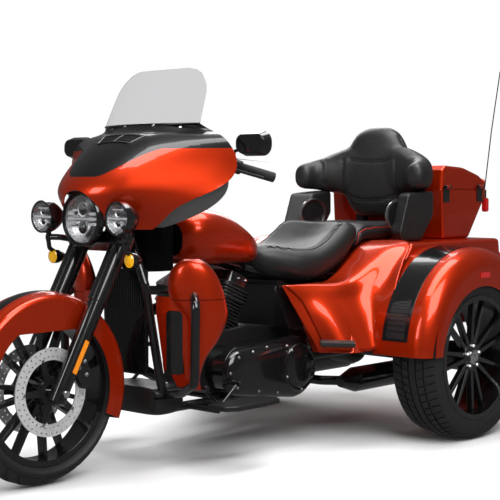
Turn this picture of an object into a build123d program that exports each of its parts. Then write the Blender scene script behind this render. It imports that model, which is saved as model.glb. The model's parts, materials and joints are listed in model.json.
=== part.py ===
"""Touring trike: one steered front wheel, two wheels on a rear axle, a V-twin, a fork-mounted fairing,
a luggage box with a side-hinged lid and a trunk with a drop-down door.

Frame: +X forward, +Y left, +Z up, in millimetres. The origin is on the ground at mid-length.
"""

from build123d import *
from math import acos, asin, atan2, cos, radians, sin, tan
import os

os.makedirs("parts", exist_ok=True)

# Overall sizes; the pieces are drawn at the first length here, and another length scales the whole trike
OVERALL_LENGTH = 2672.0
SIZE = OVERALL_LENGTH / 2672.0
OVERALL_WIDTH = 1390.0
WHEELBASE = 1670.0
REAR_OVERHANG = 666.0
REAR_END_X = -1336.0
REAR_AXLE_X = REAR_END_X + REAR_OVERHANG
FRONT_AXLE_X = REAR_AXLE_X + WHEELBASE

# Clearances
SEAT_GAP = 0.3
RUN_GAP = 0.05
BEAD_GAP = 0.1
SWING_GAP = 6.0

# Wheels and tyres
FRONT_TYRE_R = 319.0
FRONT_TYRE_W = 130.0
FRONT_SIDEWALL = 65.0
FRONT_RIM_R = FRONT_TYRE_R - FRONT_SIDEWALL
FRONT_RIM_W = 92.0
FRONT_AXLE_R = 12.5
REAR_TYRE_R = 325.0
REAR_TYRE_W = 215.0
REAR_SIDEWALL = 77.0
REAR_RIM_R = REAR_TYRE_R - REAR_SIDEWALL
REAR_RIM_W = 192.0
TRACK_INSET = 246.0
REAR_TRACK = OVERALL_WIDTH - TRACK_INSET
REAR_SHAFT_R = 20.0
FLANGE_H = 14.0
FLANGE_T = 9.0
BARREL_T = 8.0
SPOKE_PAIRS = 7

# Front brakes
DISC_R = 150.0
DISC_T = 5.0
DISC_Y = 58.0

# Steering and fork
RAKE_DEG = 26.0
TRAIL = 100.0
FORK_DEG = 29.25
FORK_Y = 105.0
SLIDER_R = 30.0
COVER_R = 35.0
COVER_LENGTH = 210.0
LOWER_YOKE_Z = 794.5
LOWER_YOKE_H = 45.0
UPPER_YOKE_Z = 971.6
UPPER_YOKE_H = 24.0
LOWER_YOKE_S = (LOWER_YOKE_Z - FRONT_TYRE_R) / cos(radians(FORK_DEG))
UPPER_YOKE_S = (UPPER_YOKE_Z - FRONT_TYRE_R) / cos(radians(FORK_DEG))
SLIDER_TOP = LOWER_YOKE_S - COVER_LENGTH
YOKE_DEPTH = 72.0
STEM_R = 15.0
BRACKET_R = 6.0
HEAD_TUBE_R = 32.0

# Front fender
FENDER_GAP = 19.0
FENDER_R = FRONT_TYRE_R + FENDER_GAP
FENDER_W = 2 * (FORK_Y - SLIDER_R - SEAT_GAP)
FENDER_T = 4.0
FENDER_SKIRT = 138.0
FENDER_SKIRT_Z = FRONT_TYRE_R + 205.0
FENDER_EDGE_R = FENDER_R - 88.0
FENDER_CROWN = 10.0
FENDER_LIP_DEG = 6.24
FENDER_TAIL_DEG = 203.0

# Fairing, by level: height, nose x, rear x, half width, nose radius
FAIRING_LEVELS = (
    (857.0, 814.5, 668.0, 203.0, 133.0),
    (880.0, 822.0, 655.0, 232.0, 150.0),
    (960.0, 842.0, 610.0, 340.0, 230.0),
    (1035.0, 815.0, 505.0, 425.0, 270.0),
    (1110.0, 735.0, 490.0, 430.0, 300.0),
    (1180.0, 625.0, 485.0, 360.0, 380.0),
    (1225.0, 545.0, 480.0, 250.0, 400.0),
)
FAIRING_T = 5.0
FLANK_INSET = 1.45
INNER_FAIRING_X = (486.0, 640.0)
INNER_GAP = 7.0
# Inner fairing's skirt behind the wing, by level: height, front x, front y, rear x, rear y
SKIRT_LEVELS = (
    (864.0, 668.0, 174.0, 630.0, 222.0),
    (915.0, 642.0, 252.0, 545.0, 320.0),
    (970.0, 602.0, 322.0, 503.0, 382.0),
    (1046.0, 520.0, 372.0, 496.0, 394.0),
)
SKIRT_T = 6.0
DASH_Z = 1102.0
DASH_HALF_W = 165.0
SCREEN_T = 4.0
SCREEN_RISE = 206.0
SCREEN_TOP_X = 411.0
SCREEN_TOP_HALF_W = 222.0
SCREEN_TOP_BOW = 24.0
SCREEN_CORNER_R = 120.0

# Lamps on the fork
HEADLAMP_X = 832.0
HEADLAMP_Z = 893.0
HEADLAMP_R = 92.0
HEADLAMP_HOLE_R = HEADLAMP_R + 7
HEADLAMP_DEPTH = 66.0
AUX_LAMP = (838.0, 198.0, 898.0)
AUX_LAMP_R = 58.0
AUX_LAMP_DEPTH = 78.0
SIGNAL = (782.0, 202.0, 755.0)
SIGNAL_R = 25.0
SIGNAL_DEPTH = 48.0
LAMP_BAR_R = 11.0

# Handlebar and mirrors
BAR_R = 13.0
GRIP_R = 18.0
GRIP_LENGTH = 125.0
GRIP_END = (292.0, 420.0, 1038.0)
MIRROR = (420.0, 458.0, 1152.0)
MIRROR_W = 150.0
MIRROR_H = 86.0
MIRROR_T = 34.0

# Engine
CRANK_X = 215.0
CRANK_Z = 325.0
CYLINDER_TILT = 22.5
CASE_HALF_W = 92.0
BARREL_R = 62.0
FIN_SIZE = 150.0
FIN_T = 4.0
FIN_PITCH = 13.0
FIN_COUNT = 9
CYLINDER_BASE_S = 138.0
HEAD_S = 262.0
HEAD_H = 62.0
ROCKER_H = 44.0
CLUTCH_X = -96.0
CLUTCH_Z = 306.0
CLUTCH_COVER_R = 112.0
CRANK_COVER_R = 84.0
PRIMARY_Y = 205.0
DERBY_R = 83.0

# Fuel tank, by station: x, half width, bottom, top
TANK_STATIONS = (
    (442.0, 116.0, 756.0, 868.0),
    (405.0, 158.0, 728.0, 902.0),
    (270.0, 172.0, 714.0, 914.0),
    (120.0, 150.0, 714.0, 858.0),
    (8.0, 95.0, 718.0, 800.0),
)
TANK_TOP_LINE = ((400.0, 890.0), (262.0, 900.0), (120.0, 846.0), (2.0, 786.0))
CONSOLE_HALF_W = 52.0

# Frame
FRAME_R = 16.0
BACKBONE_R = 24.0
CRADLE_Y = 132.0
CRADLE_Z = 212.0

# Neck cover between the steering head and the tank
NECK_COVER_X = (452.0, 572.0)
NECK_COVER_Z = (700.0, 868.0)
NECK_COVER_HALF_W = 92.0

# Lower fairings, with their outline seen from the side: x, z
LOWER_T = 6.0
LOWER_EDGE_T = 5.0
LOWER_EDGE_DEPTH = 26.0
LOWER_OUTLINE = (
    (538.0, 296.0),
    (572.0, 300.0),
    (584.0, 400.0),
    (622.0, 640.0),
    (616.0, 712.0),
    (576.0, 754.0),
    (530.0, 742.0),
    (488.0, 690.0),
    (456.0, 620.0),
    (446.0, 552.0),
    (478.0, 484.0),
    (526.0, 412.0),
    (544.0, 340.0),
)
VENT_Y = (206.0, 268.0)
VENT_Z = (352.0, 575.0)
LOWER_FRONT = (604.0, 160.0)
LOWER_MID = (578.0, 272.0)
LOWER_REAR = (405.0, 345.0)
LOWER_SHOULDER = ((150.0, 640.0), (250.0, 770.0))
GUARD_R = 16.0

# Rear body
FENDER_DEPTH = 270.0
TRUNK_HALF_W = OVERALL_WIDTH / 2 - FENDER_DEPTH
TRUNK_FLOOR_Z = 425.0
TRUNK_TOP_Z = 775.0
TRUNK_FRONT_X = -470.0
TRUNK_REAR_X = -1262.0
TRUNK_WALL = 6.0
ARCH_R = 405.0
ARCH_CENTRE = (REAR_AXLE_X - 25.0, 355.0)
ARCH_OPENING_R = 285.0
ARCH_EDGE_R = 78.0
ARCH_INNER_Y = TRUNK_HALF_W + SEAT_GAP
ARCH_T = 5.0
MARKER_T = 4.0
DOOR_T = 18.0
# Apron between seat and fender, by corner: bottom x, bottom y, top x, top y
APRON_CORNERS = (
    (-120.0, 304.0, -8.0, 204.0),
    (-150.0, 345.0, -100.0, 228.0),
    (-192.0, TRUNK_HALF_W - 10, -270.0, 300.0),
    (TRUNK_FRONT_X - TRUNK_WALL, TRUNK_HALF_W, TRUNK_FRONT_X - TRUNK_WALL, TRUNK_HALF_W),
)
APRON_Z = (365.0, 625.0)
APRON_T = 6.0
APRON_BACK_Y = 200.0
DOOR_LEAN_DEG = 8.0
DOOR_HALF_W = TRUNK_HALF_W - 53
DOOR_HINGE_Y = 250.0

# Seat, by station: x, half width, bottom, top, corner radius
SEAT_STATIONS = (
    (-14.0, 84.0, 670.0, 762.0, 26.0),
    (-70.0, 116.0, 648.0, 788.0, 40.0),
    (-190.0, 166.0, 632.0, 752.0, 44.0),
    (-330.0, 205.0, 630.0, 738.0, 44.0),
    (-430.0, 208.0, 640.0, 762.0, 46.0),
    (-505.0, 203.0, 718.0, 846.0, 44.0),
    (-570.0, 196.0, 788.0, 868.0, 38.0),
    (-599.0, 188.0, 788.0, 846.0, 27.0),
)
PILLION_X = (-850.0, -602.0)
PILLION_HALF_W = 190.0
PILLION_TOP_Z = 846.0

# Backrest: half outline seen from the front (y, z), and sections of the wrap-around wings:
# centre x, y and z, turn from sideways to forwards in degrees, half height and half depth
BACKREST_EDGE = (
    (110.0, 866.0),
    (150.0, 920.0),
    (176.0, 1010.0),
    (188.0, 1100.0),
    (172.0, 1160.0),
    (142.0, 1222.0),
    (92.0, 1266.0),
)
WING_SECTIONS = (
    (-894.0, 60.0, 1046.0, 0.0, 80.0, 30.0),
    (-888.0, 190.0, 1052.0, 15.0, 66.0, 36.0),
    (-826.0, 292.0, 1052.0, 70.0, 55.0, 42.0),
    (-712.0, 294.0, 1046.0, 90.0, 44.0, 38.0),
)
WING_END_R = 18.0

# Luggage box
BOX_REAR_X = -1318.0
BOX_HALF_W = 300.0
BOX_SEAM_Z = 990.0
LID_TOP_Z = BOX_SEAM_Z + 102
BOX_WALL = 5.0

# Speaker pods: inner and outer face, and how far the inner face's front stands back
POD_Y = (232.0, 322.0)
POD_TOE = 55.0

# Hinges of the lid and the trunk door
PIN_R = 5.0
KNUCKLE_R = 8.0
KNUCKLE_L = 12.0
KNUCKLE_GAP = 0.5
HINGE_L = 44.0
LEAF_T = 3.0
LID_PIN_Y = BOX_HALF_W + KNUCKLE_R + KNUCKLE_GAP
LID_PIN_Z = BOX_SEAM_Z + KNUCKLE_R + 1
LID_HINGE_X = (-978.0, -1240.0)
DOOR_LOW = 14.0
DOOR_PIN = (DOOR_LOW - KNUCKLE_R - 1, KNUCKLE_R + 1)

# Passenger's footboards
PASSENGER_BOARD_Z = (398.0, 416.0)
PASSENGER_BOARD_W = 86.0

# Running gear under the body
AXLE_TUBE_R = 40.0
AXLE_HALF = REAR_TRACK / 2 - 102
MUFFLER_R = 50.0
MUFFLER_Y = 236.0
MUFFLER_Z = 222.0

FORK_DIR = Vector(-sin(radians(FORK_DEG)), 0, cos(radians(FORK_DEG)))
STEER_DIR = Vector(-sin(radians(RAKE_DEG)), 0, cos(radians(RAKE_DEG)))
STEER_GROUND_X = FRONT_AXLE_X + TRAIL


def steer_point(z):
    """The steering axis at height z."""
    return Vector(STEER_GROUND_X - z * tan(radians(RAKE_DEG)), 0, z)


def fork_plane(s, y=0.0):
    """A plane across the fork, s along it from the front axle, with its own x along +Y."""
    origin = Vector(FRONT_AXLE_X, y, FRONT_TYRE_R) + FORK_DIR * s
    return Plane(origin=origin, x_dir=(0, 1, 0), z_dir=FORK_DIR)


def outline(*points, r=0.0):
    """A closed outline of straight runs, with rounded corners where r is given."""
    if r:
        return FilletPolyline(*points, radius=r, close=True)
    return Polyline(*points, close=True)


def side_prism(points, y_low, y_high, r=0.0):
    """A side-view outline in x and z, made solid between two y values."""
    face = Plane.XZ * make_face(outline(*points, r=r))
    return Pos(0, y_high, 0) * extrude(face, amount=y_high - y_low)


def front_prism(points, x_low, x_high, r=0.0):
    """A front-view outline in y and z, made solid between two x values."""
    face = Plane.YZ * make_face(outline(*points, r=r))
    return Pos(x_low, 0, 0) * extrude(face, amount=x_high - x_low)


def plan_prism(points, z_low, z_high, r=0.0):
    """A plan-view outline in x and y, made solid between two z values."""
    face = make_face(outline(*points, r=r))
    return Pos(0, 0, z_low) * extrude(face, amount=z_high - z_low)


def rod_y(r, y_low, y_high, x, z):
    """A round bar along Y."""
    return Pos(x, (y_low + y_high) / 2, z) * Rot(90, 0, 0) * Cylinder(r, y_high - y_low)


def rod_x(r, x_low, x_high, y, z):
    """A round bar along X."""
    return Pos((x_low + x_high) / 2, y, z) * Rot(0, 90, 0) * Cylinder(r, x_high - x_low)


def tube(points, r, bend):
    """A round bar along straight runs joined by arcs."""
    path = FilletPolyline(*points, radius=bend)
    return sweep(Plane(origin=path @ 0, z_dir=path % 0) * Circle(r), path=path)


def block(x, y, z):
    """A box from its (low, high) pair on each axis."""
    size = [b - a for a, b in (x, y, z)]
    centre = [(a + b) / 2 for a, b in (x, y, z)]
    return Pos(*centre) * Box(*size)


def both_sides(shape):
    """A left piece and its mirror image."""
    return shape + mirror(shape, about=Plane.XZ)


def lathe_y(points):
    """A ring about the Y axis from radius and y pairs."""
    return revolve(make_face(Polyline(*points, close=True)), Axis.Y)


NODES = {}


def keep(name, shape):
    """Files a finished piece under its node's name."""
    NODES[name] = shape
    return shape


# Wheels


def tyre(outer_r, width, bead_r, bead_w, crown_drop):
    """A tyre as a closed ring on the rim's flanges, with rounded sidewalls and a crowned tread."""
    shoulder_r = outer_r - crown_drop
    shoulder_y = width * 0.46
    belly_r = (bead_r + shoulder_r) / 2
    left = ThreePointArc((bead_r, bead_w / 2), (belly_r, width / 2), (shoulder_r, shoulder_y))
    crown = ThreePointArc((shoulder_r, shoulder_y), (outer_r, 0), (shoulder_r, -shoulder_y))
    right = ThreePointArc((shoulder_r, -shoulder_y), (belly_r, -width / 2), (bead_r, -bead_w / 2))
    foot = Line((bead_r, -bead_w / 2), (bead_r, bead_w / 2))
    ring = revolve(make_face(Curve() + [left, crown, right, foot]), Axis.Y)
    return ring - rod_y(bead_r + BEAD_GAP, -width, width, 0, 0)


def rim_barrel(flange_r, rim_w):
    """The rim's barrel with a flange at each edge."""
    well_r = flange_r - FLANGE_H
    half = rim_w / 2
    return lathe_y(
        (
            (well_r - BARREL_T, -half),
            (flange_r, -half),
            (flange_r, -half + FLANGE_T),
            (well_r, -half + 2 * FLANGE_T),
            (well_r, half - 2 * FLANGE_T),
            (flange_r, half - FLANGE_T),
            (flange_r, half),
            (well_r - BARREL_T, half),
        )
    )


def cast_wheel(flange_r, rim_w, hub_r, hub_y, bore_r, spoke_y, root_w, tip_w, splay):
    """A cast wheel: barrel, bored hub, and pairs of spokes that splay apart towards the rim."""
    barrel_in = flange_r - FLANGE_H - BARREL_T
    root_r = hub_r - 6
    tip_r = barrel_in + 3
    spokes = []
    for pair in range(SPOKE_PAIRS):
        for side in (-1, 1):
            root = side * root_w * 0.55
            tip = side * splay
            points = (
                (root_r, root - root_w / 2),
                (tip_r, tip - tip_w / 2),
                (tip_r, tip + tip_w / 2),
                (root_r, root + root_w / 2),
            )
            spokes.append(Rot(0, pair * 360 / SPOKE_PAIRS, 0) * side_prism(points, *spoke_y))
    low, high = hub_y
    hub = lathe_y(((bore_r, low), (hub_r, low), (hub_r, high), (bore_r, high)))
    return rim_barrel(flange_r, rim_w) + hub + spokes


def front_wheel():
    place = Pos(FRONT_AXLE_X, 0, FRONT_TYRE_R)
    hub_half = DISC_Y - DISC_T / 2
    wheel = cast_wheel(
        FRONT_RIM_R, FRONT_RIM_W, 48, (-hub_half, hub_half), FRONT_AXLE_R + RUN_GAP, (-17, 17), 19, 14, 42
    )
    keep("front_wheel", place * wheel)
    keep("front_tyre", place * tyre(FRONT_TYRE_R, FRONT_TYRE_W, FRONT_RIM_R, FRONT_RIM_W - 4, 36))
    arms = [Rot(0, 72 * k, 0) * block((34, 112), (-DISC_T / 2, DISC_T / 2), (-11, 11)) for k in range(5)]
    disc = lathe_y(
        ((106, -DISC_T / 2), (DISC_R, -DISC_T / 2), (DISC_R, DISC_T / 2), (106, DISC_T / 2))
    )
    spider = lathe_y(((26, -DISC_T / 2), (44, -DISC_T / 2), (44, DISC_T / 2), (26, DISC_T / 2)))
    plate = disc + spider + arms
    keep("front_discs", both_sides(place * Pos(0, DISC_Y, 0) * plate))
    axle_half = FORK_Y + SLIDER_R + 8
    axle = rod_y(FRONT_AXLE_R, -axle_half, axle_half, FRONT_AXLE_X, FRONT_TYRE_R)
    keep("front_axle", axle)


def rear_wheels():
    for name, side in (("left", 1), ("right", -1)):
        centre_y = REAR_TRACK / 2
        wheel = cast_wheel(
            REAR_RIM_R, REAR_RIM_W, 58, (-40, 66), REAR_SHAFT_R + RUN_GAP, (40, 64), 20, 13, 40
        )
        bead_w = REAR_RIM_W - 4
        parts = (
            (f"rear_wheel_{name}", wheel),
            (f"rear_tyre_{name}", tyre(REAR_TYRE_R, REAR_TYRE_W, REAR_RIM_R, bead_w, 14)),
        )
        for node, shape in parts:
            placed = Pos(REAR_AXLE_X, centre_y, REAR_TYRE_R) * shape
            keep(node, placed if side > 0 else mirror(placed, about=Plane.XZ))


# Fork, yokes and fender


def fork():
    legs = []
    for y in (-FORK_Y, FORK_Y):
        base = fork_plane(-34, y)
        slider = base * Cylinder(SLIDER_R, SLIDER_TOP + 34, align=(Align.CENTER, Align.CENTER, Align.MIN))
        cover = fork_plane(SLIDER_TOP, y) * Cylinder(
            COVER_R, LOWER_YOKE_S - SLIDER_TOP, align=(Align.CENTER, Align.CENTER, Align.MIN)
        )
        upper = fork_plane(LOWER_YOKE_S, y) * Cylinder(
            SLIDER_R - 4,
            UPPER_YOKE_S + UPPER_YOKE_H - LOWER_YOKE_S,
            align=(Align.CENTER, Align.CENTER, Align.MIN),
        )
        hole = rod_y(FRONT_AXLE_R, y - 60, y + 60, FRONT_AXLE_X, FRONT_TYRE_R)
        legs.append(slider + cover + upper - hole)
    keep("fork_legs", Compound(legs))


def yokes():
    width = 2 * (FORK_Y + COVER_R) + 14
    lower = fork_plane(LOWER_YOKE_S) * extrude(RectangleRounded(width, YOKE_DEPTH, 30), LOWER_YOKE_H)
    upper = fork_plane(UPPER_YOKE_S) * extrude(RectangleRounded(width, YOKE_DEPTH, 30), UPPER_YOKE_H)
    low_end = steer_point(805)
    stem_length = (steer_point(975) - low_end).length
    stem = Plane(origin=low_end, z_dir=STEER_DIR) * Cylinder(
        STEM_R, stem_length, align=(Align.CENTER, Align.CENTER, Align.MIN)
    )
    bores = [
        fork_plane(LOWER_YOKE_S - 50, y) * Cylinder(SLIDER_R - 4, 400, align=(Align.CENTER, Align.CENTER, Align.MIN))
        for y in (-FORK_Y, FORK_Y)
    ]
    keep("fork_yokes", lower + upper + stem - bores)


def front_fender():
    half = FENDER_W / 2
    skirt_r = FENDER_R - FENDER_SKIRT
    edge = 22.0
    t = FENDER_T

    def section(r_out, half_w, corner):
        side_r = r_out - FENDER_CROWN - corner
        crown_y = half_w - corner
        knee = (side_r + corner * 0.7071, crown_y + corner * 0.7071)
        crown = ThreePointArc((r_out - FENDER_CROWN, -crown_y), (r_out, 0), (r_out - FENDER_CROWN, crown_y))
        left = ThreePointArc((r_out - FENDER_CROWN, crown_y), knee, (side_r, half_w))
        right = ThreePointArc((side_r, -half_w), (knee[0], -knee[1]), (r_out - FENDER_CROWN, -crown_y))
        foot = Polyline((side_r, half_w), (skirt_r, half_w), (skirt_r, -half_w), (side_r, -half_w))
        return make_face(Curve() + [right, crown, left, foot])

    sweep_deg = FENDER_TAIL_DEG - FENDER_LIP_DEG
    place = Pos(FRONT_AXLE_X, 0, FRONT_TYRE_R) * Rot(0, -FENDER_LIP_DEG, 0)
    outer = revolve(section(FENDER_R, half, edge), Axis.Y, -sweep_deg)
    inner = revolve(section(FENDER_R - t, half - t, edge - t), Axis.Y, -sweep_deg)
    below = block((0, 2 * FRONT_AXLE_X), (-half, half), (0, FENDER_SKIRT_Z))
    trim = rod_y(FENDER_EDGE_R, -half, half, FRONT_AXLE_X, FRONT_TYRE_R) & below
    keep("front_fender", place * (outer - inner) - trim)


# Fairing, screen and inner fairing


def fairing_flank(nose, rear, half_w, nose_r):
    """The point where a fairing level's straight flank leaves its round nose."""
    centre = nose - nose_r
    reach = ((rear - centre) ** 2 + half_w**2) ** 0.5
    turn = atan2(half_w, rear - centre) - acos(nose_r / reach)
    return centre + nose_r * cos(turn), nose_r * sin(turn)


def fairing_level(z, nose, rear, half_w, nose_r, inset):
    """One level of the room inside the fairing: a round nose, straight flanks and a straight back."""
    nose -= inset
    half_w -= FLANK_INSET * inset
    x, y = fairing_flank(nose, rear, half_w, nose_r - inset)
    bow = ThreePointArc((x, -y), (nose, 0), (x, y))
    back = Polyline((x, y), (rear, half_w), (rear, -half_w), (x, -y))
    return Pos(0, 0, z) * make_face(Curve() + [bow, back])


def fairing_band(z, nose, rear, half_w, nose_r):
    """One level of the fairing's shell, an open band of even thickness."""
    in_w = half_w - FLANK_INSET * FAIRING_T
    x, y = fairing_flank(nose, rear, half_w, nose_r)
    in_x, in_y = fairing_flank(nose - FAIRING_T, rear, in_w, nose_r - FAIRING_T)
    bow = ThreePointArc((x, -y), (nose, 0), (x, y))
    left = Polyline((x, y), (rear, half_w), (rear, in_w), (in_x, in_y))
    inner_bow = ThreePointArc((in_x, in_y), (nose - FAIRING_T, 0), (in_x, -in_y))
    right = Polyline((in_x, -in_y), (rear, -in_w), (rear, -half_w), (x, -y))
    return Pos(0, 0, z) * make_face(Curve() + [bow, left, inner_bow, right])


def fairing_body(inset):
    return loft([fairing_level(*level, inset) for level in FAIRING_LEVELS])


def fairing():
    cap = extrude(fairing_level(*FAIRING_LEVELS[-1], 0), amount=-FAIRING_T)
    shell = loft([fairing_band(*level) for level in FAIRING_LEVELS]) + cap
    bowl = rod_x(HEADLAMP_HOLE_R, HEADLAMP_X - HEADLAMP_DEPTH - 60, HEADLAMP_X + 80, 0, HEADLAMP_Z)
    shell = keep("fairing", shell - bowl)
    yoke = fork_plane(UPPER_YOKE_S + UPPER_YOKE_H / 2).origin
    bracket = rod_x(BRACKET_R, yoke.X, FRONT_AXLE_X, FORK_Y + YOKE_DEPTH / 3, yoke.Z) - shell
    bracket = bracket.solids().sort_by(Axis.X)[0] - NODES["fork_legs"]
    keep("fork_yokes", NODES["fork_yokes"] + both_sides(bracket.solids().sort_by(Axis.X)[-1]))
    low, high = INNER_FAIRING_X
    slab = block((low, high), (-600, 600), (840, FAIRING_LEVELS[-1][0] - FAIRING_T - SEAT_GAP))
    core = fairing_body(FAIRING_T + INNER_GAP) & slab
    reach = block((low - 10, high - 30), (-DASH_HALF_W, DASH_HALF_W), (700, DASH_Z))
    hollow = block((low + 40, high + 10), (-600, 600), (700, DASH_Z + 60))
    panel = core - reach - hollow - NODES.pop("bar_room")
    skirt = both_sides(loft([skirt_level(*level) for level in SKIRT_LEVELS]))
    keep("fairing_inner", panel + skirt)


def skirt_level(z, front_x, front_y, rear_x, rear_y):
    """One level of the inner fairing's skirt, a thin strip."""
    corners = ((front_x, front_y), (rear_x, rear_y), (rear_x, rear_y - SKIRT_T), (front_x, front_y - SKIRT_T))
    return Pos(0, 0, z) * make_face(outline(*corners))


def screen():
    top_z, nose, rear, half_w, _ = FAIRING_LEVELS[-1]
    base_z = top_z + SEAT_GAP
    screen_top_z = top_z + SCREEN_RISE

    def band(z, nose_x, rear_x):
        outer = ThreePointArc((rear_x, -half_w), (nose_x, 0), (rear_x, half_w))
        inner = ThreePointArc((rear_x - SCREEN_T, half_w), (nose_x - SCREEN_T, 0), (rear_x - SCREEN_T, -half_w))
        ends = [Line(outer @ 1, inner @ 0), Line(inner @ 1, outer @ 0)]
        return Pos(0, 0, z) * make_face(Curve() + [outer, inner] + ends)

    foot = band(base_z, nose, rear)
    sheet = loft([foot, band(screen_top_z, SCREEN_TOP_X, SCREEN_TOP_X - SCREEN_TOP_BOW)], ruled=True)
    shape = front_prism(
        (
            (-half_w, base_z - 20),
            (half_w, base_z - 20),
            (SCREEN_TOP_HALF_W, screen_top_z),
            (-SCREEN_TOP_HALF_W, screen_top_z),
        ),
        rear - 400,
        nose + 50,
    )
    corners = shape.edges().filter_by(Axis.X).group_by(Axis.Z)[-1]
    keep("windshield", sheet & fillet(corners, SCREEN_CORNER_R))


# Lamps, handlebar and mirrors


def lamp_bowl(r, depth, dome):
    """A lamp facing +X: a bowl, a rim and a domed lens."""
    edge_r = r * 0.9
    dome_r = (edge_r * edge_r + dome * dome) / (2 * dome)
    half_angle = asin(edge_r / dome_r) / 2
    middle = (dome - dome_r + dome_r * cos(half_angle), dome_r * sin(half_angle))
    front = ThreePointArc((0, edge_r), middle, (dome, 0))
    rim = Polyline((-depth, 0), (-depth, r * 0.55), (-depth * 0.55, r * 0.93), (-14, r), (0, r), (0, edge_r))
    axis = Line((dome, 0), (-depth, 0))
    return revolve(make_face(Curve() + [rim, front, axis]), Axis.X)


def lamps():
    head = Pos(HEADLAMP_X - 14, 0, HEADLAMP_Z) * lamp_bowl(HEADLAMP_R, HEADLAMP_DEPTH, 14)
    ring = rod_x(HEADLAMP_HOLE_R - SEAT_GAP, HEADLAMP_X - 34, HEADLAMP_X - 16, 0, HEADLAMP_Z)
    keep("headlamp", head + ring)
    x, y, z = AUX_LAMP
    aux = Pos(x - 8, y, z) * lamp_bowl(AUX_LAMP_R, AUX_LAMP_DEPTH, 8)
    keep("aux_lamps", both_sides(aux))
    sx, sy, sz = SIGNAL
    signal = Pos(sx - 6, sy, sz) * lamp_bowl(SIGNAL_R, SIGNAL_DEPTH, 6)
    keep("turn_signals", both_sides(signal))
    bar_x = x - 42
    bar_z = z - AUX_LAMP_R - LAMP_BAR_R - 4
    yoke = fork_plane(LOWER_YOKE_S + LOWER_YOKE_H / 2).origin
    run = tube(
        (
            (yoke.X, FORK_Y + COVER_R - 6, yoke.Z),
            (bar_x - 22, FORK_Y + COVER_R + 22, bar_z),
            (bar_x, y + 12, bar_z),
        ),
        LAMP_BAR_R,
        16,
    )
    post = Pos(bar_x, y, bar_z) * Cylinder(9, 30, align=(Align.CENTER, Align.CENTER, Align.MIN))
    signal_x = sx - SIGNAL_DEPTH + 4
    drop = tube(((bar_x, sy, bar_z), (bar_x - 6, sy, bar_z - 40), (signal_x - 4, sy, sz)), 8, 12)
    left = run + post + drop
    lamp_bar = both_sides(left) - NODES["aux_lamps"] - NODES["turn_signals"] - NODES["fork_yokes"]
    lamp_bar -= NODES["fork_legs"]
    keep("lamp_bar", lamp_bar)


def handlebar():
    top = fork_plane(UPPER_YOKE_S + UPPER_YOKE_H).origin
    riser_x = top.X - 6
    bar_z = top.Z + 52
    gx, gy, gz = GRIP_END
    points = (
        (riser_x, 0, bar_z),
        (riser_x, 70, bar_z),
        (riser_x - 40, 140, bar_z + 38),
        (430, gy - 60, gz + 40),
        (gx, gy, gz),
    )
    left = tube(points, BAR_R, 38)
    risers = both_sides(Pos(riser_x, 42, top.Z - 6) * Cylinder(17, 60, align=(Align.CENTER, Align.CENTER, Align.MIN)))
    bar = left + mirror(left, about=Plane.XZ) + risers
    keep("bar_room", both_sides(tube(points[2:], BAR_R + 14, 38)))
    keep("handlebar", bar - NODES["fork_yokes"] - NODES["fork_legs"])
    start = Vector(*points[-2])
    along = (Vector(gx, gy, gz) - start).normalized()
    grip_plane = Plane(origin=Vector(gx, gy, gz) - along * GRIP_LENGTH, z_dir=along)
    sleeve = grip_plane * (
        Cylinder(GRIP_R, GRIP_LENGTH + 6, align=(Align.CENTER, Align.CENTER, Align.MIN))
        - Cylinder(BAR_R, GRIP_LENGTH, align=(Align.CENTER, Align.CENTER, Align.MIN))
    )
    pod_plane = Plane(origin=grip_plane.origin - along * 52, z_dir=along)
    pod = pod_plane * (
        Cylinder(25, 50, align=(Align.CENTER, Align.CENTER, Align.MIN))
        - Cylinder(BAR_R, 50, align=(Align.CENTER, Align.CENTER, Align.MIN))
    )
    keep("grips", both_sides(sleeve))
    lever_start = pod_plane.origin + Vector(30, 0, -4)
    lever = tube(
        (
            lever_start,
            lever_start + along * 60 + Vector(26, 8, 0),
            lever_start + along * 175 + Vector(22, 8, 0),
        ),
        5.5,
        30,
    )
    keep("hand_controls", both_sides(pod + lever - left))
    mx, my, mz = MIRROR
    head = Pos(mx, my, mz) * Rot(0, 90, 0) * extrude(RectangleRounded(MIRROR_H, MIRROR_W, 38), MIRROR_T, taper=18)
    stem = tube(
        (
            pod_plane.origin + along * 25 + Vector(0, 0, 22),
            pod_plane.origin + along * 25 + Vector(10, 10, 50),
            Vector(mx + 16, my, mz - 6),
        ),
        6,
        12,
    )
    keep("mirrors", both_sides(head + stem) - NODES["hand_controls"] - NODES["handlebar"])


def brake_calipers():
    angle = 152.0
    at = Pos(FRONT_AXLE_X, 0, FRONT_TYRE_R) * Rot(0, -angle, 0)
    body = block((104, 164), (50, 84), (-62, 62))
    body = fillet(body.edges().filter_by(Axis.Y), 14)
    slot = block((80, DISC_R + 5), (DISC_Y - DISC_T / 2 - 2, DISC_Y + DISC_T / 2 + 2), (-80, 80))
    keep("brake_calipers", both_sides(at * (body - slot)) - NODES["fork_legs"])


# Frame and engine


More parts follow.
